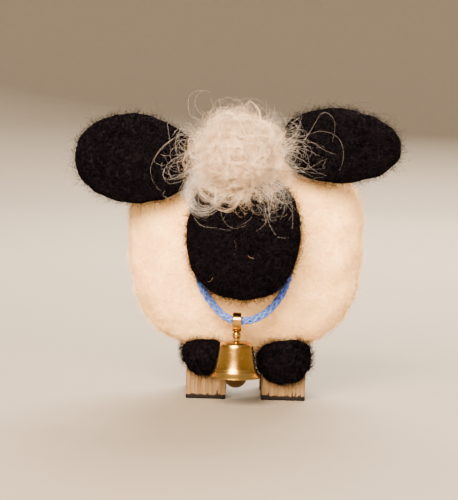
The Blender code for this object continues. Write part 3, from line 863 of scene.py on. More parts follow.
flyaways += curl_guides(
    66, 42, lengths=(0.006, 0.013), turns=(120, 400), slants=(0.1, 1.0), side=190, spread=42,
    forward=(0.1, 0.7),
)
flyaways += curl_guides(
    30, 43, lengths=(0.003, 0.007), turns=(160, 420), slants=(0.2, 1.2), side=270, spread=50,
    forward=(0.2, 0.9),
)
forelock = [
    undercoat,
    curl_piece(
        "forelock_back", back, Strands=8, Spread=0.0014, Flare=0.6, Frizz=0.0010, Wave=0.0040,
        Radius=0.000016, Seed=13,
    ),
    curl_piece(
        "forelock_cloud", cloud, Strands=8, Spread=0.0016, Flare=0.6, Frizz=0.0010, Wave=0.0040,
        Radius=0.000014, Seed=3,
    ),
    curl_piece(
        "forelock_wisps", wisps, finish=loose_wool, Strands=2, Spread=0.0014, Flare=0.6,
        Frizz=0.0014, Wave=0.0060, Radius=0.000014, Seed=5,
    ),
    curl_piece(
        "forelock_flyaways", flyaways, finish=loose_wool, Strands=2, Spread=0.0008, Flare=1.2,
        Frizz=0.0008, Wave=0.0060, Radius=0.0000075, Seed=6,
    ),
]

# %% [markdown]
# The photograph shows some curls well enough to place them: rings of parallel strands over
# the ears and the forehead, rolls under the middle, and single threads over the ears, the
# brow and the top. Rings are given by their middle and radius, threads and the lighter
# streaks by a few points.

# %% Places of rings, rolls, threads and streaks
MASS_MIDDLE_MM = (-2.2, 48.2)
MASS_HALF_MM = (6.9, 6.9)
RING_MM = [
    # across, height, radius, hand, number of guides
    (-12.5, 49.8, 2.0, 1, 3), (-14.7, 45.4, 2.2, -1, 1), (-11.4, 43.9, 2.2, 1, 2),
    (-12.9, 47.2, 1.8, -1, 2), (-9.6, 42.6, 2.2, 1, 4), (-9.6, 46.0, 2.6, 1, 7),
    (-9.4, 51.0, 2.2, -1, 9), (7.3, 52.6, 1.9, 1, 5), (8.6, 48.6, 2.2, -1, 5),
    (7.6, 45.4, 2.0, -1, 5), (6.0, 50.0, 2.2, 1, 9), (-4.6, 41.0, 2.0, 1, 4),
    (0.0, 40.6, 1.6, -1, 3), (2.6, 40.2, 1.8, -1, 3), (4.4, 39.8, 2.0, -1, 3),
    (6.2, 41.0, 2.2, 1, 5), (7.2, 43.0, 2.0, 1, 5),
]
ROLLS_MM = [
    (-8.3, 40.2, 3.7, 1, 60), (-7.4, 41.6, 2.4, 1, 20), (5.4, 40.6, 2.4, -1, 6),
    (-1.6, 41.8, 2.4, 1, 8), (-3.6, 41.0, 2.4, -1, 6), (2.4, 41.8, 2.2, 1, 6),
]
THREADS_MM = [
    # right ear, on the left in the picture
    [(-10.4, 52.7), (-12.6, 52.3), (-14.8, 51.0), (-16.7, 49.4), (-18.2, 47.2), (-18.9, 45.0),
     (-18.3, 42.9), (-17.1, 41.5), (-15.9, 40.7)],
    [(-15.9, 40.9), (-16.2, 40.1), (-15.1, 39.6), (-13.7, 40.0), (-13.2, 41.2)],
    [(-11.0, 52.1), (-13.2, 51.8), (-15.3, 50.5), (-17.2, 48.6), (-18.3, 46.9), (-17.5, 46.1),
     (-15.9, 46.1), (-14.0, 47.8), (-11.8, 48.3)],
    [(-9.6, 48.3), (-11.5, 48.0), (-13.7, 48.0), (-15.9, 47.8), (-17.2, 48.3), (-17.7, 48.8)],
    [(-15.9, 54.0), (-15.6, 52.4), (-15.3, 50.2), (-15.1, 48.3)],
    [(-9.9, 45.8), (-12.3, 47.2), (-14.0, 47.2), (-15.6, 45.8), (-16.2, 44.2), (-15.6, 43.1),
     (-14.0, 43.4), (-11.8, 44.5), (-10.4, 45.6)],
    [(-9.3, 44.2), (-11.5, 43.9), (-13.4, 43.7), (-15.1, 43.1), (-16.2, 43.4), (-16.3, 44.5),
     (-15.1, 45.8), (-13.2, 46.7)],
    [(-12.6, 49.4), (-14.3, 49.4), (-15.1, 48.3), (-14.5, 46.9), (-12.9, 46.9), (-11.8, 47.8)],
    [(-13.7, 47.8), (-13.4, 45.6), (-12.9, 43.4), (-12.6, 41.2)],
    [(-14.8, 51.6), (-14.0, 52.7), (-12.6, 52.9), (-11.5, 52.4)],
    [(-11.8, 51.0), (-13.2, 50.5), (-14.0, 49.1), (-13.4, 47.8), (-12.1, 47.5)],
    [(-10.4, 49.4), (-12.3, 49.9), (-13.7, 51.0), (-13.2, 51.8), (-11.8, 51.6)],
    # left ear, on the right in the picture
    [(4.8, 50.5), (7.3, 49.9), (10.3, 50.2), (13.5, 50.1), (16.3, 50.5), (18.4, 51.6)],
    [(5.9, 49.4), (8.6, 48.3), (10.8, 46.9), (12.5, 45.6), (14.6, 44.8), (17.6, 44.5)],
    [(7.3, 42.9), (10.3, 43.1), (13.5, 44.2), (16.0, 44.2), (18.7, 43.7)],
    [(8.1, 51.0), (10.3, 51.6), (12.2, 51.0), (14.1, 49.9), (16.0, 49.1), (17.9, 49.0)],
    [(7.5, 53.2), (8.6, 53.8), (10.3, 52.9), (10.5, 52.1), (9.5, 52.1), (8.4, 53.2)],
    [(7.3, 44.8), (10.0, 45.6), (12.2, 46.4), (14.1, 47.5), (14.6, 47.8), (14.1, 46.4),
     (13.3, 45.3)],
    [(8.6, 44.8), (11.4, 43.9), (12.5, 43.1), (13.0, 42.0), (13.0, 40.9)],
    [(9.5, 55.7), (8.1, 54.8), (7.3, 53.8), (6.7, 52.4)],
    [(10.3, 51.0), (12.2, 54.3), (13.5, 56.5), (15.2, 56.2), (16.0, 54.6), (16.0, 52.4),
     (15.7, 50.5)],
    [(8.6, 51.6), (10.8, 52.4), (13.3, 53.2), (15.4, 52.9), (17.1, 51.8), (17.9, 49.9),
     (17.9, 47.8), (17.1, 45.6)],
    [(4.6, 47.2), (6.7, 47.2), (8.6, 45.8), (10.3, 44.5), (12.2, 43.9)],
    [(5.4, 51.6), (7.0, 52.9), (8.6, 54.0), (9.7, 54.3), (10.3, 53.2)],
    [(4.8, 53.2), (6.2, 54.6), (7.3, 55.4), (8.1, 55.7)],
    [(5.9, 45.6), (7.8, 45.8), (9.7, 45.6), (11.6, 45.0), (13.8, 43.1)],
    [(5.4, 48.3), (8.1, 49.1), (10.0, 48.6), (11.4, 47.2), (11.6, 45.6)],
    [(6.2, 49.1), (7.5, 47.2), (9.2, 46.1), (8.9, 44.5), (7.3, 43.9)],
    [(6.5, 51.6), (8.1, 49.9), (8.9, 48.3), (9.2, 46.7)],
    # brow
    [(-12.6, 41.2), (-12.3, 39.3), (-11.3, 37.4), (-9.6, 36.3), (-7.7, 36.0), (-6.1, 36.9),
     (-5.5, 38.5)],
    [(-12.3, 34.7), (-11.5, 33.9), (-10.2, 33.6)],
    [(-10.2, 36.3), (-9.3, 35.2), (-8.0, 34.7), (-6.3, 34.7), (-4.4, 34.5), (-1.7, 34.5),
     (0.5, 34.8)],
    [(-5.5, 39.0), (-5.0, 36.6), (-3.9, 35.2), (-2.3, 34.7), (-0.6, 35.2), (0.5, 36.3),
     (-0.1, 38.5)],
    [(-3.4, 39.3), (-3.9, 37.7), (-5.0, 36.0), (-6.3, 35.2)],
    [(-1.2, 40.1), (0.7, 38.2), (0.5, 36.6), (-0.6, 35.5), (-2.3, 34.9)],
    [(2.1, 39.0), (2.9, 37.4), (3.2, 35.8), (2.9, 34.1)],
    [(3.2, 38.5), (3.7, 36.6), (4.6, 34.7), (5.6, 33.3), (7.3, 32.8), (8.9, 33.3), (9.5, 34.7)],
    [(4.3, 39.3), (4.0, 36.9), (4.6, 35.8), (5.6, 36.3), (6.2, 37.7)],
    [(7.0, 39.6), (8.4, 37.9), (8.6, 36.3), (8.4, 34.9), (7.3, 33.9)],
    [(5.4, 41.2), (7.5, 39.3), (8.4, 38.5), (9.5, 37.4), (11.4, 36.9), (13.5, 37.1)],
    [(1.6, 39.0), (2.6, 37.4), (4.3, 37.7), (5.4, 38.8)],
    # top
    [(-7.2, 54.3), (-9.9, 54.8), (-11.3, 55.4), (-11.8, 57.6), (-11.0, 59.7), (-8.8, 60.2),
     (-6.3, 59.5)],
    [(-7.7, 53.8), (-9.3, 55.7), (-10.4, 57.8), (-9.3, 60.0), (-6.6, 59.9)],
    [(-5.0, 55.7), (-6.3, 57.0), (-6.6, 58.4), (-5.3, 58.9), (-3.4, 58.1)],
    [(-0.6, 56.7), (-0.1, 58.9), (1.6, 58.7), (3.2, 57.8), (4.6, 56.7)],
    [(-2.8, 56.5), (-2.3, 58.4), (-0.6, 59.2), (0.5, 58.7)],
    [(3.2, 55.7), (5.1, 56.5), (6.2, 55.9), (6.7, 54.6)],
]
STREAKS_MM = [
    [(-5.3, 46.9), (-3.3, 47.0), (-1.3, 46.4), (0.6, 45.4), (2.1, 44.6)],
    [(-5.3, 49.6), (-3.3, 50.0), (-0.8, 50.0), (1.1, 49.6), (2.6, 48.6)],
    [(-9.5, 41.9), (-8.3, 43.4), (-6.5, 44.6), (-4.3, 45.6)],
    [(-6.3, 39.4), (-6.0, 41.2), (-5.1, 42.6), (-3.3, 43.4), (-1.3, 43.5)],
    [(1.9, 50.8), (2.6, 48.8), (2.6, 46.6), (1.9, 44.9)],
    [(-7.3, 51.8), (-5.8, 52.8), (-3.8, 53.3), (-1.6, 53.0)],
    [(-3.8, 40.4), (-1.8, 41.4), (0.4, 41.7), (2.6, 40.9)],
    [(1.1, 54.3), (3.1, 52.8), (4.6, 50.8), (5.1, 48.8)],
    [(-10.7, 45.4), (-8.8, 46.6), (-6.3, 47.4)],
]
print(len(RING_MM), "rings,", len(ROLLS_MM), "rolls and", len(THREADS_MM), "threads")

# %% [markdown]
# Each ring's guide leaves the core towards the ring's middle, meets the ring at a tangent and
# runs round it once or so. The middle of the mop is made of such rings too, only at random
# places, since there they can't be told apart.

# %% Rings and threads as guide lines
ENTRY_STEPS = 6
RING_STEPS = 18
RING_FRONT_MM = -20.5
RING_ROOT_SHARE = 0.8
ROOT_SCATTER = 0.0032
THREAD_STEPS = 6
THREAD_FRONT_MM = -19.6


def scattered_rings(count, seed, radii, each):
    """Rings at random places in the mop's middle, smaller towards its edge."""
    chance = random.Random(seed)
    rings = []
    while len(rings) < count:
        across, up = chance.uniform(-1, 1), chance.uniform(-1, 1)
        reach = math.hypot(across, up)
        if reach < 1:
            place = [m + h * s for m, h, s in zip(MASS_MIDDLE_MM, MASS_HALF_MM, (across, up))]
            radius = chance.uniform(*radii) * (1 - 0.5 * reach)
            rings.append((*place, radius, chance.choice(HANDS), each))
    return rings


def ring_line(root, middle, radius, hand, sweep, chance, layer, even):
    """A line from root that joins a circle round middle, uneven or even, and runs round it."""
    heading = math.atan2(middle.z - root.z, middle.x - root.x)
    first = heading - hand * math.pi / 2
    start = middle + Vector((math.cos(first), 0, math.sin(first))) * radius
    before = start - Vector((math.cos(heading), 0, math.sin(heading))) * (start - root).length / 2
    line = []
    for step in range(ENTRY_STEPS):
        share = step / ENTRY_STEPS
        line.append(root.lerp(before, share).lerp(before.lerp(start, share), share))
    wide, drift, forward = chance.uniform(0.75, 1.3), chance.gauss(0, 0.35), chance.uniform(0, 1)
    wide, drift = wide + (1 - wide) * even, drift * (1 - even)
    for step in range(RING_STEPS + 1):
        share = step / RING_STEPS
        turn = first + hand * sweep * share
        side, up = math.cos(turn) * wide + drift * share, math.sin(turn) / wide
        reach = radius * (1 - 0.3 * share)
        line.append(middle + Vector((side, -forward * share, up)) * reach)
    return [lie_over(point, layer) for point in line]


def thread_guides(threads, layer=0.0):
    """Smooth lines in front of the ears and the head through (across, height) points."""
    lines = []
    for thread in threads:
        route = [Vector((across, THREAD_FRONT_MM, height)) * MM for across, height in thread]
        lines.append([lie_over(point, layer) for point in smooth_line(route, THREAD_STEPS)])
    return lines


def ring_guides(rings, seed, scatter, sweeps, sizes=(0.55, 1.15), layers=(0, 0.0006), even=0.0):
    chance = random.Random(seed)
    lines = []
    for across, height, radius, hand, count in rings:
        for number in range(count):
            offset = [chance.gauss(0, scatter) for axis in range(3)]
            middle = BODY_PLACE + Vector((across, RING_FRONT_MM, height)) * MM + Vector(offset)
            swerve = Vector([chance.gauss(0, ROOT_SCATTER) for axis in range(3)])
            way = middle - CORE_CENTRE + swerve
            way.y = -abs(way.y)
            reach = Vector(a * b for a, b in zip(way.normalized(), CORE_HALF))
            root = CORE_CENTRE + reach * RING_ROOT_SHARE
            size = radius * MM * chance.uniform(*sizes)
            sweep = math.radians(chance.uniform(*sweeps))
            layer = chance.uniform(*layers)
            lines.append(ring_line(root, middle, size, hand, sweep, chance, layer, even))
    return lines


mass = ring_guides(
    scattered_rings(150, 31, (1.8, 4.2), 1), 32, 0.0003, (60, 300), layers=(0, 0.0014)
)
swirls = ring_guides(
    scattered_rings(96, 33, (3.0, 6.5), 1), 34, 0.0003, (50, 190), layers=(0.0014, 0.003)
)
streaks = thread_guides(STREAKS_MM, 0.003)
streaks += ring_guides(
    scattered_rings(60, 35, (4.0, 9.0), 1), 36, 0.0003, (30, 80), layers=(0.0022, 0.0032)
)
rolls = ring_guides(ROLLS_MM, 23, 0.0003, (120, 300), (0.6, 1.1), even=0.75)
ringlets = ring_guides(RING_MM, 21, 0.0008, (90, 420))
threads = thread_guides(THREADS_MM)
print(len(mass), "guides for the mass,", len(swirls), "for swirls,", len(streaks), "for streaks")

# %% [markdown]
# About ten strands to a guide fill the mass, the swirls and the streaks over it. The mass and the
# swirls are in the darker wool, painted shade between the locks, and the streaks in the lighter
# wool, painted light on their ridges. The single curls at the edge have one or two, because a
# bundle there would look like yarn.

# %% Mass, swirls, streaks, rolls, ringlets and threads
MASS_POINTS = 17
RING_POINTS = 26
forelock += [
    curl_piece(
        "forelock_mass", mass, MASS_POINTS, Strands=10, Spread=0.0016, Flare=0.3, Frizz=0.0006,
        Wave=0.0050, Radius=0.000019, Seed=2,
    ),
    curl_piece(
        "forelock_swirls", swirls, MASS_POINTS, Strands=11, Spread=0.0010, Flare=0.5,
        Frizz=0.0004, Wave=0.0070, Radius=0.000018, Seed=4,
    ),
    # painted light: the streaks are in the lighter lit wool, over the darker shaded mass
    curl_piece(
        "forelock_streaks", streaks, MASS_POINTS, bright_wool, Strands=9, Spread=0.0006,
        Flare=0.5, Frizz=0.0003, Wave=0.0070, Radius=0.000014, Seed=11,
    ),
    curl_piece(
        "forelock_rolls", rolls, RING_POINTS, loose_wool, Strands=1, Spread=0.0004, Flare=0.4,
        Frizz=0.0004, Wave=0.0060, Radius=0.000012, Seed=10,
    ),
    curl_piece(
        "forelock_ringlets", ringlets, RING_POINTS, loose_wool, Strands=2, Spread=0.0011,
        Flare=0.8, Frizz=0.0010, Wave=0.0040, Radius=0.000010, Seed=8,
    ),
    curl_piece(
        "forelock_threads", threads, RING_POINTS, loose_wool, Strands=1, Spread=0.0003,
        Flare=0.6, Frizz=0.0004, Wave=0.0060, Radius=0.0000085, Seed=9,
    ),
]

# %% [markdown]
# ## The braided collar
#
# The cord is a round braid of shiny yarn: four strands wind one way, four the other, and
# each passes over and under the ones it meets. A texture could fake the plait. At this size
# the light catches every crossing, so it is made: the recipe copies the collar's line eight
# times, winds the copies round it, and moves them in and out once for each crossing.

# %% The braid recipe
BRAID_SAMPLES = 1000
BRAID_PAIRS = 4
YARN_SIDES = 6
FULL_TURN = 2 * math.pi


def braid_recipe():
    plait = Recipe("braid", Strands=8, Pitch=0.0066, Lay=0.0005, Weave=0.0001, Thickness=0.00021)
    given = plait.given
    inputs = {"Curve": given.other("Geometry"), "Count": BRAID_SAMPLES}
    line = plait.add("GeometryNodeResampleCurve", None, inputs)
    inputs = {"Geometry": line, "Amount": given.other("Strands")}
    copies = plait.add("GeometryNodeDuplicateElements", {"domain": "SPLINE"}, inputs)
    number = copies.other("Duplicate Index")
    odd = plait.maths("MODULO", number, 2.0)
    hand = 1 - odd * 2
    pair = (number - odd) / 2
    wound = plait.add("GeometryNodeSplineParameter").other("Length") / given.other("Pitch")
    wound = wound * FULL_TURN
    angle = wound * hand + pair * (FULL_TURN / BRAID_PAIRS)
    crossing = plait.maths("COSINE", wound * BRAID_PAIRS)
    radius = given.other("Lay") + given.other("Weave") * hand * crossing
    normal = plait.add("GeometryNodeInputNormal")
    side = plait.vectors("CROSS_PRODUCT", plait.add("GeometryNodeInputTangent"), normal)
    out = plait.maths("COSINE", angle) * radius
    over = plait.maths("SINE", angle) * radius
    offset = plait.vectors("ADD", plait.stretched(normal, out), plait.stretched(side, over))
    inputs = {"Geometry": copies, "Offset": offset}
    wound_copies = plait.add("GeometryNodeSetPosition", None, inputs)
    plait.finish(plait.strands(wound_copies, given.other("Thickness"), YARN_SIDES, 1.0))
    return plait


braid = braid_recipe()
print("the braid recipe has", len(braid.tree.nodes), "nodes")

# %% [markdown]
# The yarn is blue and silky. Light flecks on it are a painted highlight, for the glints along its
# fibres. Between the strands one sees into the cord, so a heart painted very dark fills it:
# painted shade for the gaps.

# %% The collar
DRIFT_SIZE = 0.0009
YARN_SIZE = 0.00012
YARN_DEPTH = 0.00006
HEART_RADIUS = 0.00044


def cord_finish(name, deep, middle, glint):
    finish = Finish(name, Roughness=0.32, Sheen_Weight=0.2, Sheen_Roughness=0.35)
    drift = finish.noise(finish.place, DRIFT_SIZE, detail=2.0).ramp(0.35, 0.65)
    yarn = finish.noise(finish.place, YARN_SIZE)
    colour = finish.blend(drift, deep, middle)
    # painted highlight: fine noise blends light glints into the yarn's blue
    colour = finish.blend(yarn.ramp(0.55, 0.8) * 0.5, colour, glint)
    finish.paint(Base_Color=colour)
    finish.bump(yarn, YARN_DEPTH, strength=0.6)
    return finish.material


blue_braid = cord_finish(
    "blue_braid", (0.03, 0.08, 0.38, 1), (0.06, 0.145, 0.54, 1), (0.36, 0.52, 0.90, 1)
)
# painted shade: the heart is a near-black blue, standing in for the shadow between the strands
blue_heart = cord_finish(
    "blue_heart", (0.004, 0.010, 0.06, 1), (0.006, 0.016, 0.09, 1), (0.02, 0.04, 0.16, 1)
)
collar_guide = guide_object("collar_guide", [collar_line])
collar = grow(braid, collar_guide, "collar_braid", Finish=blue_braid)
collar_core = grow(
    braid, collar_guide, "collar_core", Finish=blue_heart, Strands=1, Lay=0.0, Weave=0.0,
    Thickness=HEART_RADIUS,
)
bpy.data.objects.remove(collar_guide)
for piece in (collar, collar_core):
    piece.data.shade_smooth()

# %% [markdown]
# ## The bell
#
# A small brass bell is turned on a lathe from a casting and polished. So it is made the same
# way here: an outline of drops and radii goes once round the axis. The photograph shows a
# rounded shoulder, a slowly widening waist, a fine turned line and a short flare to the lip.

# %% Turning on a lathe
BELL_PIVOT = BODY_PLACE + Vector((-0.0015, -0.0174, 0.0161))
BELL_SEGMENTS = 96
BELL_OUTLINE_MM = [
    (4.00, 0.78), (4.00, 1.60), (4.03, 2.10), (4.09, 2.50), (4.20, 2.80), (4.38, 3.02),
    (4.62, 3.16), (4.95, 3.25), (5.30, 3.30), (5.90, 3.39), (6.60, 3.49), (7.30, 3.60),
    (8.00, 3.72), (8.60, 3.84), (9.10, 3.95), (9.32, 4.02), (9.42, 4.10), (9.50, 4.15),
    (9.60, 4.16), (9.78, 4.25), (10.05, 4.43), (10.35, 4.69), (10.60, 4.91), (10.76, 5.04),
    (10.86, 5.10), (10.93, 5.07), (10.95, 4.97), (10.93, 4.80), (10.84, 4.66), (10.50, 4.38),
    (10.10, 4.06), (9.60, 3.75), (9.00, 3.50), (8.40, 3.34), (7.40, 3.12), (6.20, 2.92),
    (5.40, 2.78), (4.98, 2.62), (4.72, 2.30), (4.58, 1.80), (4.54, 1.30), (4.54, 0.78),
]


def turn_outline(bm, outline, segments, centre):
    """Turns (drop, radius) points about the vertical through centre. A radius of 0 is a pole."""
    rings = []
    for drop, radius in outline:
        count = segments if radius else 1
        turns = [FULL_TURN * number / count for number in range(count)]
        places = [Vector((radius * math.cos(t), radius * math.sin(t), -drop)) for t in turns]
        rings.append([bm.verts.new(centre + place) for place in places])
    closing = rings[:1] if len(rings[0]) > 1 else []
    for ring, following in zip(rings, rings[1:] + closing):
        for number in range(segments):
            other = (number + 1) % segments
            corners = [ring[number % len(ring)], following[number % len(following)]]
            corners += [following[other % len(following)], ring[other % len(ring)]]
            bm.faces.new(list(dict.fromkeys(corners)))


def hard_piece(name, bm, finish, sharp=35):
    """A smooth piece whose edges past sharp degrees stay crisp."""
    bmesh.ops.recalc_face_normals(bm, faces=bm.faces)
    piece = smooth_object(bm, name, finish)
    piece.data.set_sharp_from_angle(angle=math.radians(sharp))
    print_size(name, piece.data)
    return piece


def in_metres(outline_mm):
    return [(drop * MM, radius * MM) for drop, radius in outline_mm]


def ball_outline(drop, radius, rings, first=0):
    """The outline of a ball whose centre is drop below, from the ring numbered first."""
    turns = [math.pi * ring / rings for ring in range(first, rings + 1)]
    ends = (0, math.pi)
    return [
        (drop - radius * math.cos(turn), 0.0 if turn in ends else radius * math.sin(turn))
        for turn in turns
    ]


print("the bell's outline has", len(BELL_OUTLINE_MM), "points")

# %% [markdown]
# Polished brass shows the room more than itself. What makes it look real is that its polish is
# uneven: fine turning marks run round it, and a little tarnish lies on it in patches.

# %% Brass
MARK_SIZE = 0.00012
MARK_DEPTH = 0.00001
STAIN_SIZE = 0.0014


def brass_finish(name, colour, dull, roughness):
    finish = Finish(name, Metallic=1.0)
    place = finish.vectors("SUBTRACT", finish.place, (BELL_PIVOT.x, BELL_PIVOT.y, 0))
    drawn = {"Vector": place, "Scale": (0.05, 0.05, 1.0)}
    marks = finish.noise(finish.add("ShaderNodeMapping", None, drawn), MARK_SIZE)
    stain = finish.noise(finish.place, STAIN_SIZE, detail=4.0).ramp(0.45, 0.75)
    finish.paint(
        Base_Color=finish.blend(stain * 0.5, colour, dull),
        Roughness=stain * 0.10 + marks * 0.06 + roughness,
    )
    finish.bump(marks, MARK_DEPTH, strength=0.25)
    return finish.material


gold_brass = brass_finish("gold_brass", (0.45, 0.265, 0.06, 1), (0.26, 0.145, 0.03, 1), 0.18)
# painted shade: the clapper's brass is much darker than the bell's, for the shadow under the
# bell's mouth
dark_brass = brass_finish("dark_brass", (0.10, 0.06, 0.024, 1), (0.06, 0.035, 0.014, 1), 0.32)
print("2 brass finishes are ready")

# %% [markdown]
# The shell could be a single sheet. Its outline comes back to where it began instead, so that
# the bell has an outer wall, an inner one and a lip between them.

# %% The bell's shell
bm = bmesh.new()
turn_outline(bm, in_metres(BELL_OUTLINE_MM), BELL_SEGMENTS, BELL_PIVOT)
bell = hard_piece("bell_brass", bm, gold_brass)

# %% [markdown]
# The loop is a strip of sheet brass bent round the cord, soldered to a little ball on the
# crown. Below the crown the same rod carries a yoke, and the clapper hangs from its pin.

# %% Loop and clapper
LOOP_INNER = 0.0012
LOOP_BAND = 0.0004
LOOP_WIDTH = 0.0017
LOOP_STRAIGHT = 0.0005
LOOP_BALL_DROP = 0.0028
LOOP_BALL_RADIUS = 0.00085
CLAPPER_DROP = 0.0064
CLAPPER_BALL_DROP = 0.0108
CLAPPER_BALL_RADIUS = 0.0023
HOOK_INNER = 0.00055
HOOK_BAND = 0.00025
HOOK_WIDTH = 0.0005
ROD_OUTLINE_MM = [
    (3.2, 0.0), (3.2, 0.62), (3.45, 0.65), (3.68, 0.65), (3.7, 0.6), (3.7, 0.4), (5.2, 0.4),
    (5.2, 0.0),
]
HAMMER_OUTLINE_MM = [(7.05, 0.0), (7.05, 0.3), (8.14, 0.3)]
YOKE_BARS = [
    # across, drop, size
    (0.0, 0.0051, (0.0022, 0.0007, 0.0003)),
    (-0.0009, 0.00588, (0.0004, 0.0006, 0.00155)),
    (0.0009, 0.00588, (0.0004, 0.0006, 0.00155)),
    (0.0, CLAPPER_DROP, (0.0018, 0.0004, 0.0004)),
]
ROD_SEGMENTS = 32
BAND_STEPS = 64
HOOK_STEPS = 32
SEAM_GAP = 1e-7


def bend_band(bm, centre, inner, band, straight, width, steps):
    """A strip with rounded edges, bent round a level axis and drawn out downwards."""
    outer = inner + band
    half, soft = width / 2, band * 0.3
    section = [
        (-half, inner + soft), (-half, outer - soft), (soft - half, outer), (half - soft, outer),
        (half, outer - soft), (half, inner + soft), (half - soft, inner), (soft - half, inner),
    ]
    rings = []
    for part in range(2):
        for step in range(steps // 2 + 1):
            turn = math.pi * (part + 2 * step / steps)
            out = Vector((0, math.cos(turn), math.sin(turn)))
            middle = centre - Vector((0, 0, straight if part else 0))
            rings.append([bm.verts.new(middle + out * r + Vector((x, 0, 0))) for x, r in section])
    for ring, following in zip(rings, rings[1:] + rings[:1]):
        for number in range(len(section)):
            other = (number + 1) % len(section)
            bm.faces.new((ring[number], ring[other], following[other], following[number]))
    bmesh.ops.remove_doubles(bm, verts=bm.verts, dist=SEAM_GAP)


def add_bar(bm, centre, size):
    made = bmesh.ops.create_cube(bm, size=1.0)["verts"]
    bmesh.ops.scale(bm, vec=size, verts=made)
    bmesh.ops.translate(bm, vec=centre, verts=made)


bm = bmesh.new()
bend_band(bm, BELL_PIVOT, LOOP_INNER, LOOP_BAND, LOOP_STRAIGHT, LOOP_WIDTH, BAND_STEPS)
turn_outline(bm, ball_outline(LOOP_BALL_DROP, LOOP_BALL_RADIUS, 16), ROD_SEGMENTS, BELL_PIVOT)
turn_outline(bm, in_metres(ROD_OUTLINE_MM), ROD_SEGMENTS, BELL_PIVOT)
for across, drop, size in YOKE_BARS:
    add_bar(bm, BELL_PIVOT + Vector((across, 0, -drop)), size)
loop = hard_piece("loop_brass", bm, gold_brass)

bm = bmesh.new()
pin = BELL_PIVOT - Vector((0, 0, CLAPPER_DROP))
bend_band(bm, pin, HOOK_INNER, HOOK_BAND, 0.0, HOOK_WIDTH, HOOK_STEPS)
ball = ball_outline(CLAPPER_BALL_DROP, CLAPPER_BALL_RADIUS, 24, first=5)
turn_outline(bm, in_metres(HAMMER_OUTLINE_MM) + ball, ROD_SEGMENTS, BELL_PIVOT)
hammer = hard_piece("clapper_brass", bm, dark_brass)

# %% [markdown]
# ## The wooden feet
#
# The feet are sawn from a square strip of pale wood. The grain runs upwards, the sawn end is
# blackened for the hooves, and the ink has crept up some of the pores. A bevelled box is
# enough for the shape, with each edge a little worn, and the rest is in the finish.

# %% Pegs of wood
GRAIN_SIZE = 0.0004
BROAD_SIZE = 0.0016
PORE_SIZE = 0.0003
GRAIN_DEPTH = 0.00012
INK_EDGE_SIZE = 0.0007
INK_EDGE_MM = 0.55
EDGE_BEVEL = 0.0003
LONG_EDGE = 0.0035
LONG_CUTS = 14
WEAR_SIZE = 0.0009
WEAR_DEPTH = 0.00006


def wood_finish():
    finish = Finish("inked_wood", Specular_IOR_Level=0.1)
    grain = finish.grain((1.0, 1.0, 0.06), GRAIN_SIZE, detail=5.0)
    broad = finish.grain((1.0, 1.0, 0.12), BROAD_SIZE, detail=3.0)
    wood = finish.blend(grain.ramp(0.2, 0.8), (0.085, 0.048, 0.02, 1), (0.185, 0.12, 0.06, 1))
    wood = finish.blend(broad.ramp(0.4, 0.75) * 0.4, wood, (0.055, 0.028, 0.012, 1))
    axes = finish.add("ShaderNodeSeparateXYZ", None, {0: finish.place})
    height_mm = axes.other("Z") * 1000
    creep = finish.grain((1.0, 1.0, 0.10), PORE_SIZE, detail=3.0).ramp(0.5, 0.85)
    edge_mm = finish.noise(finish.place, INK_EDGE_SIZE) * 0.7 + creep * 1.3 + INK_EDGE_MM
    ink = (edge_mm - height_mm).ramp(-0.12, 0.10)
    finish.paint(
        Base_Color=finish.blend(ink, wood, (0.005, 0.0042, 0.0045, 1)),
        Roughness=0.75 - ink * 0.15,
    )
    finish.bump(grain + broad * 0.5, GRAIN_DEPTH, strength=0.6)
    return finish.material


def wooden_peg(node, finish):
    low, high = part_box(node)
    middle = (low + high) / 2
    bm = bmesh.new()
    add_bar(bm, middle, high - low)
    bmesh.ops.bevel(
        bm, geom=bm.edges[:], offset=EDGE_BEVEL, segments=3, profile=0.6, affect="EDGES"
    )
    long_edges = [edge for edge in bm.edges if edge.calc_length() > LONG_EDGE]
    bmesh.ops.subdivide_edges(bm, edges=long_edges, cuts=LONG_CUTS, use_grid_fill=True)
    for vert in bm.verts:
        inward = Vector((middle.x - vert.co.x, middle.y - vert.co.y, 0))
        place = Vector((vert.co.x, vert.co.y, vert.co.z * 0.3)) / WEAR_SIZE
        vert.co += inward.normalized() * max(0.0, noise.noise(place)) * WEAR_DEPTH
    return hard_piece(node + "_wood", bm, finish, sharp=50)


LEGS = ("leg_front_right", "leg_front_left", "leg_rear_right", "leg_rear_left")
inked_wood = wood_finish()
pegs = {node: wooden_peg(node, inked_wood) for node in LEGS}

# %% [markdown]
# ## Strays
#
# Wool gets everywhere. A few black fibres lie on the cream body and a few pale ones on the
# black face, where the maker's needle left them.

# %% Stray fibres
stray_black = fuzz_coat(
    "torso", "torso_strays", black_fuzz, 5, Density=7e3, Length=0.0045, Lift=0.12, Sweep=1.4,
    Radius=0.00002, Seed=71,
)
stray_pale = fuzz_coat(
    "head", "head_strays", curly_wool, 5, Density=1.6e4, Length=0.0016, Lift=0.05, Calm=1.0,
    Sweep=1.8, Radius=0.000013, Seed=72,
)

# %% [markdown]
# ## The studio
#
# The figure stands in the middle of a wide pale dish, flat where it stands and curving up
# far away. A plain floor would show its horizon behind the ears, and this has none from any
# side. Three large soft lamps do the lighting: a strong one above and to the left as in the
# photograph, a weak low one on the right that the brass doesn't mirror, and one behind that
# lights up the fuzz.

# %% Stage
DISH_OUTLINE = [
    # height, radius
    (0.0, 0.0), (0.0, 0.45), (0.012, 0.60), (0.055, 0.75), (0.14, 0.88), (0.28, 1.0),
    (0.45, 1.08), (0.65, 1.12),
]
DISH_SEGMENTS = 96
PAPER_SPECK = 0.004


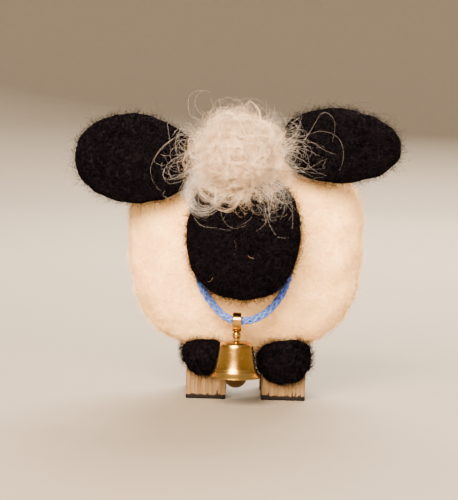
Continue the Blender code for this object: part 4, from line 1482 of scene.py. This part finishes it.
def stage_dish():
    bm = bmesh.new()
    outline = [(-height, radius) for height, radius in DISH_OUTLINE]
    turn_outline(bm, outline, DISH_SEGMENTS, Vector())
    finish = Finish("pale_paper", Roughness=0.9)
    speck = finish.noise(finish.place, PAPER_SPECK)
    finish.paint(Base_Color=finish.blend(speck, (0.18, 0.16, 0.13, 1), (0.20, 0.18, 0.145, 1)))
    return smooth_object(bm, "stage_dish", finish.material)


def soft_lamp(name, place, size, power, colour):
    data = bpy.data.lights.new(name, "AREA")
    data.shape = "DISK"
    data.size = size
    data.energy = power
    data.color = colour
    lamp = linked(bpy.data.objects.new(name, data))
    lamp.location = place
    lamp.rotation_euler = (CAMERA_TARGET - lamp.location).to_track_quat("-Z", "Y").to_euler()
    return lamp


stage = stage_dish()
soft_lamp("key_lamp", Vector((-0.16, -0.52, 0.38)), 0.40, 31.0, (1.0, 0.74, 0.50))
fill_lamp = soft_lamp("fill_lamp", Vector((0.16, -0.56, 0.14)), 0.50, 8.0, (1.0, 0.80, 0.60))
fill_lamp.visible_glossy = False
soft_lamp("rim_lamp", Vector((0.10, 0.48, 0.40)), 0.50, 24.0, (1.0, 0.84, 0.68))
world = bpy.data.worlds.new("studio_air")
world.use_nodes = True
air = world.node_tree.nodes["Background"].inputs
air["Color"].default_value = (0.97, 0.88, 0.80, 1)
air["Strength"].default_value = 0.64
bpy.context.scene.world = world
print("the dish is", 2 * DISH_OUTLINE[-1][1], "m wide, with", len(bpy.data.lights), "lamps")

# %% [markdown]
# ## Joining the pieces to the model
#
# Last, each piece says which body it moves with and which solid it stands for, and that solid is
# hidden. Everything rides on the sheep but the bell, its loop and its clapper.

# %% Bodies and solids
def join(piece, body, node=None):
    """What a piece rides on, and the solid that it stands for, which is hidden."""
    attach(piece, body)
    if node:
        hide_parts(node)


for node, skin in skins.items():
    join(skin, "sheep", node)
    for coat in coats.get(node, []):
        join(coat, "sheep")
for piece in [forelock_root] + forelock:
    join(piece, "sheep", "forelock")
for node, peg in pegs.items():
    join(peg, "sheep", node)
join(stray_black, "sheep")
join(stray_pale, "sheep")
join(collar, "sheep", "collar")
join(collar_core, "sheep")
join(bell, "bell", "bell_shell")
join(loop, "bell", "bell_loop")
join(hammer, "clapper", "clapper")
print(len(skins), "skins,", sum(map(len, coats.values())), "coats and", len(pegs), "pegs ride")
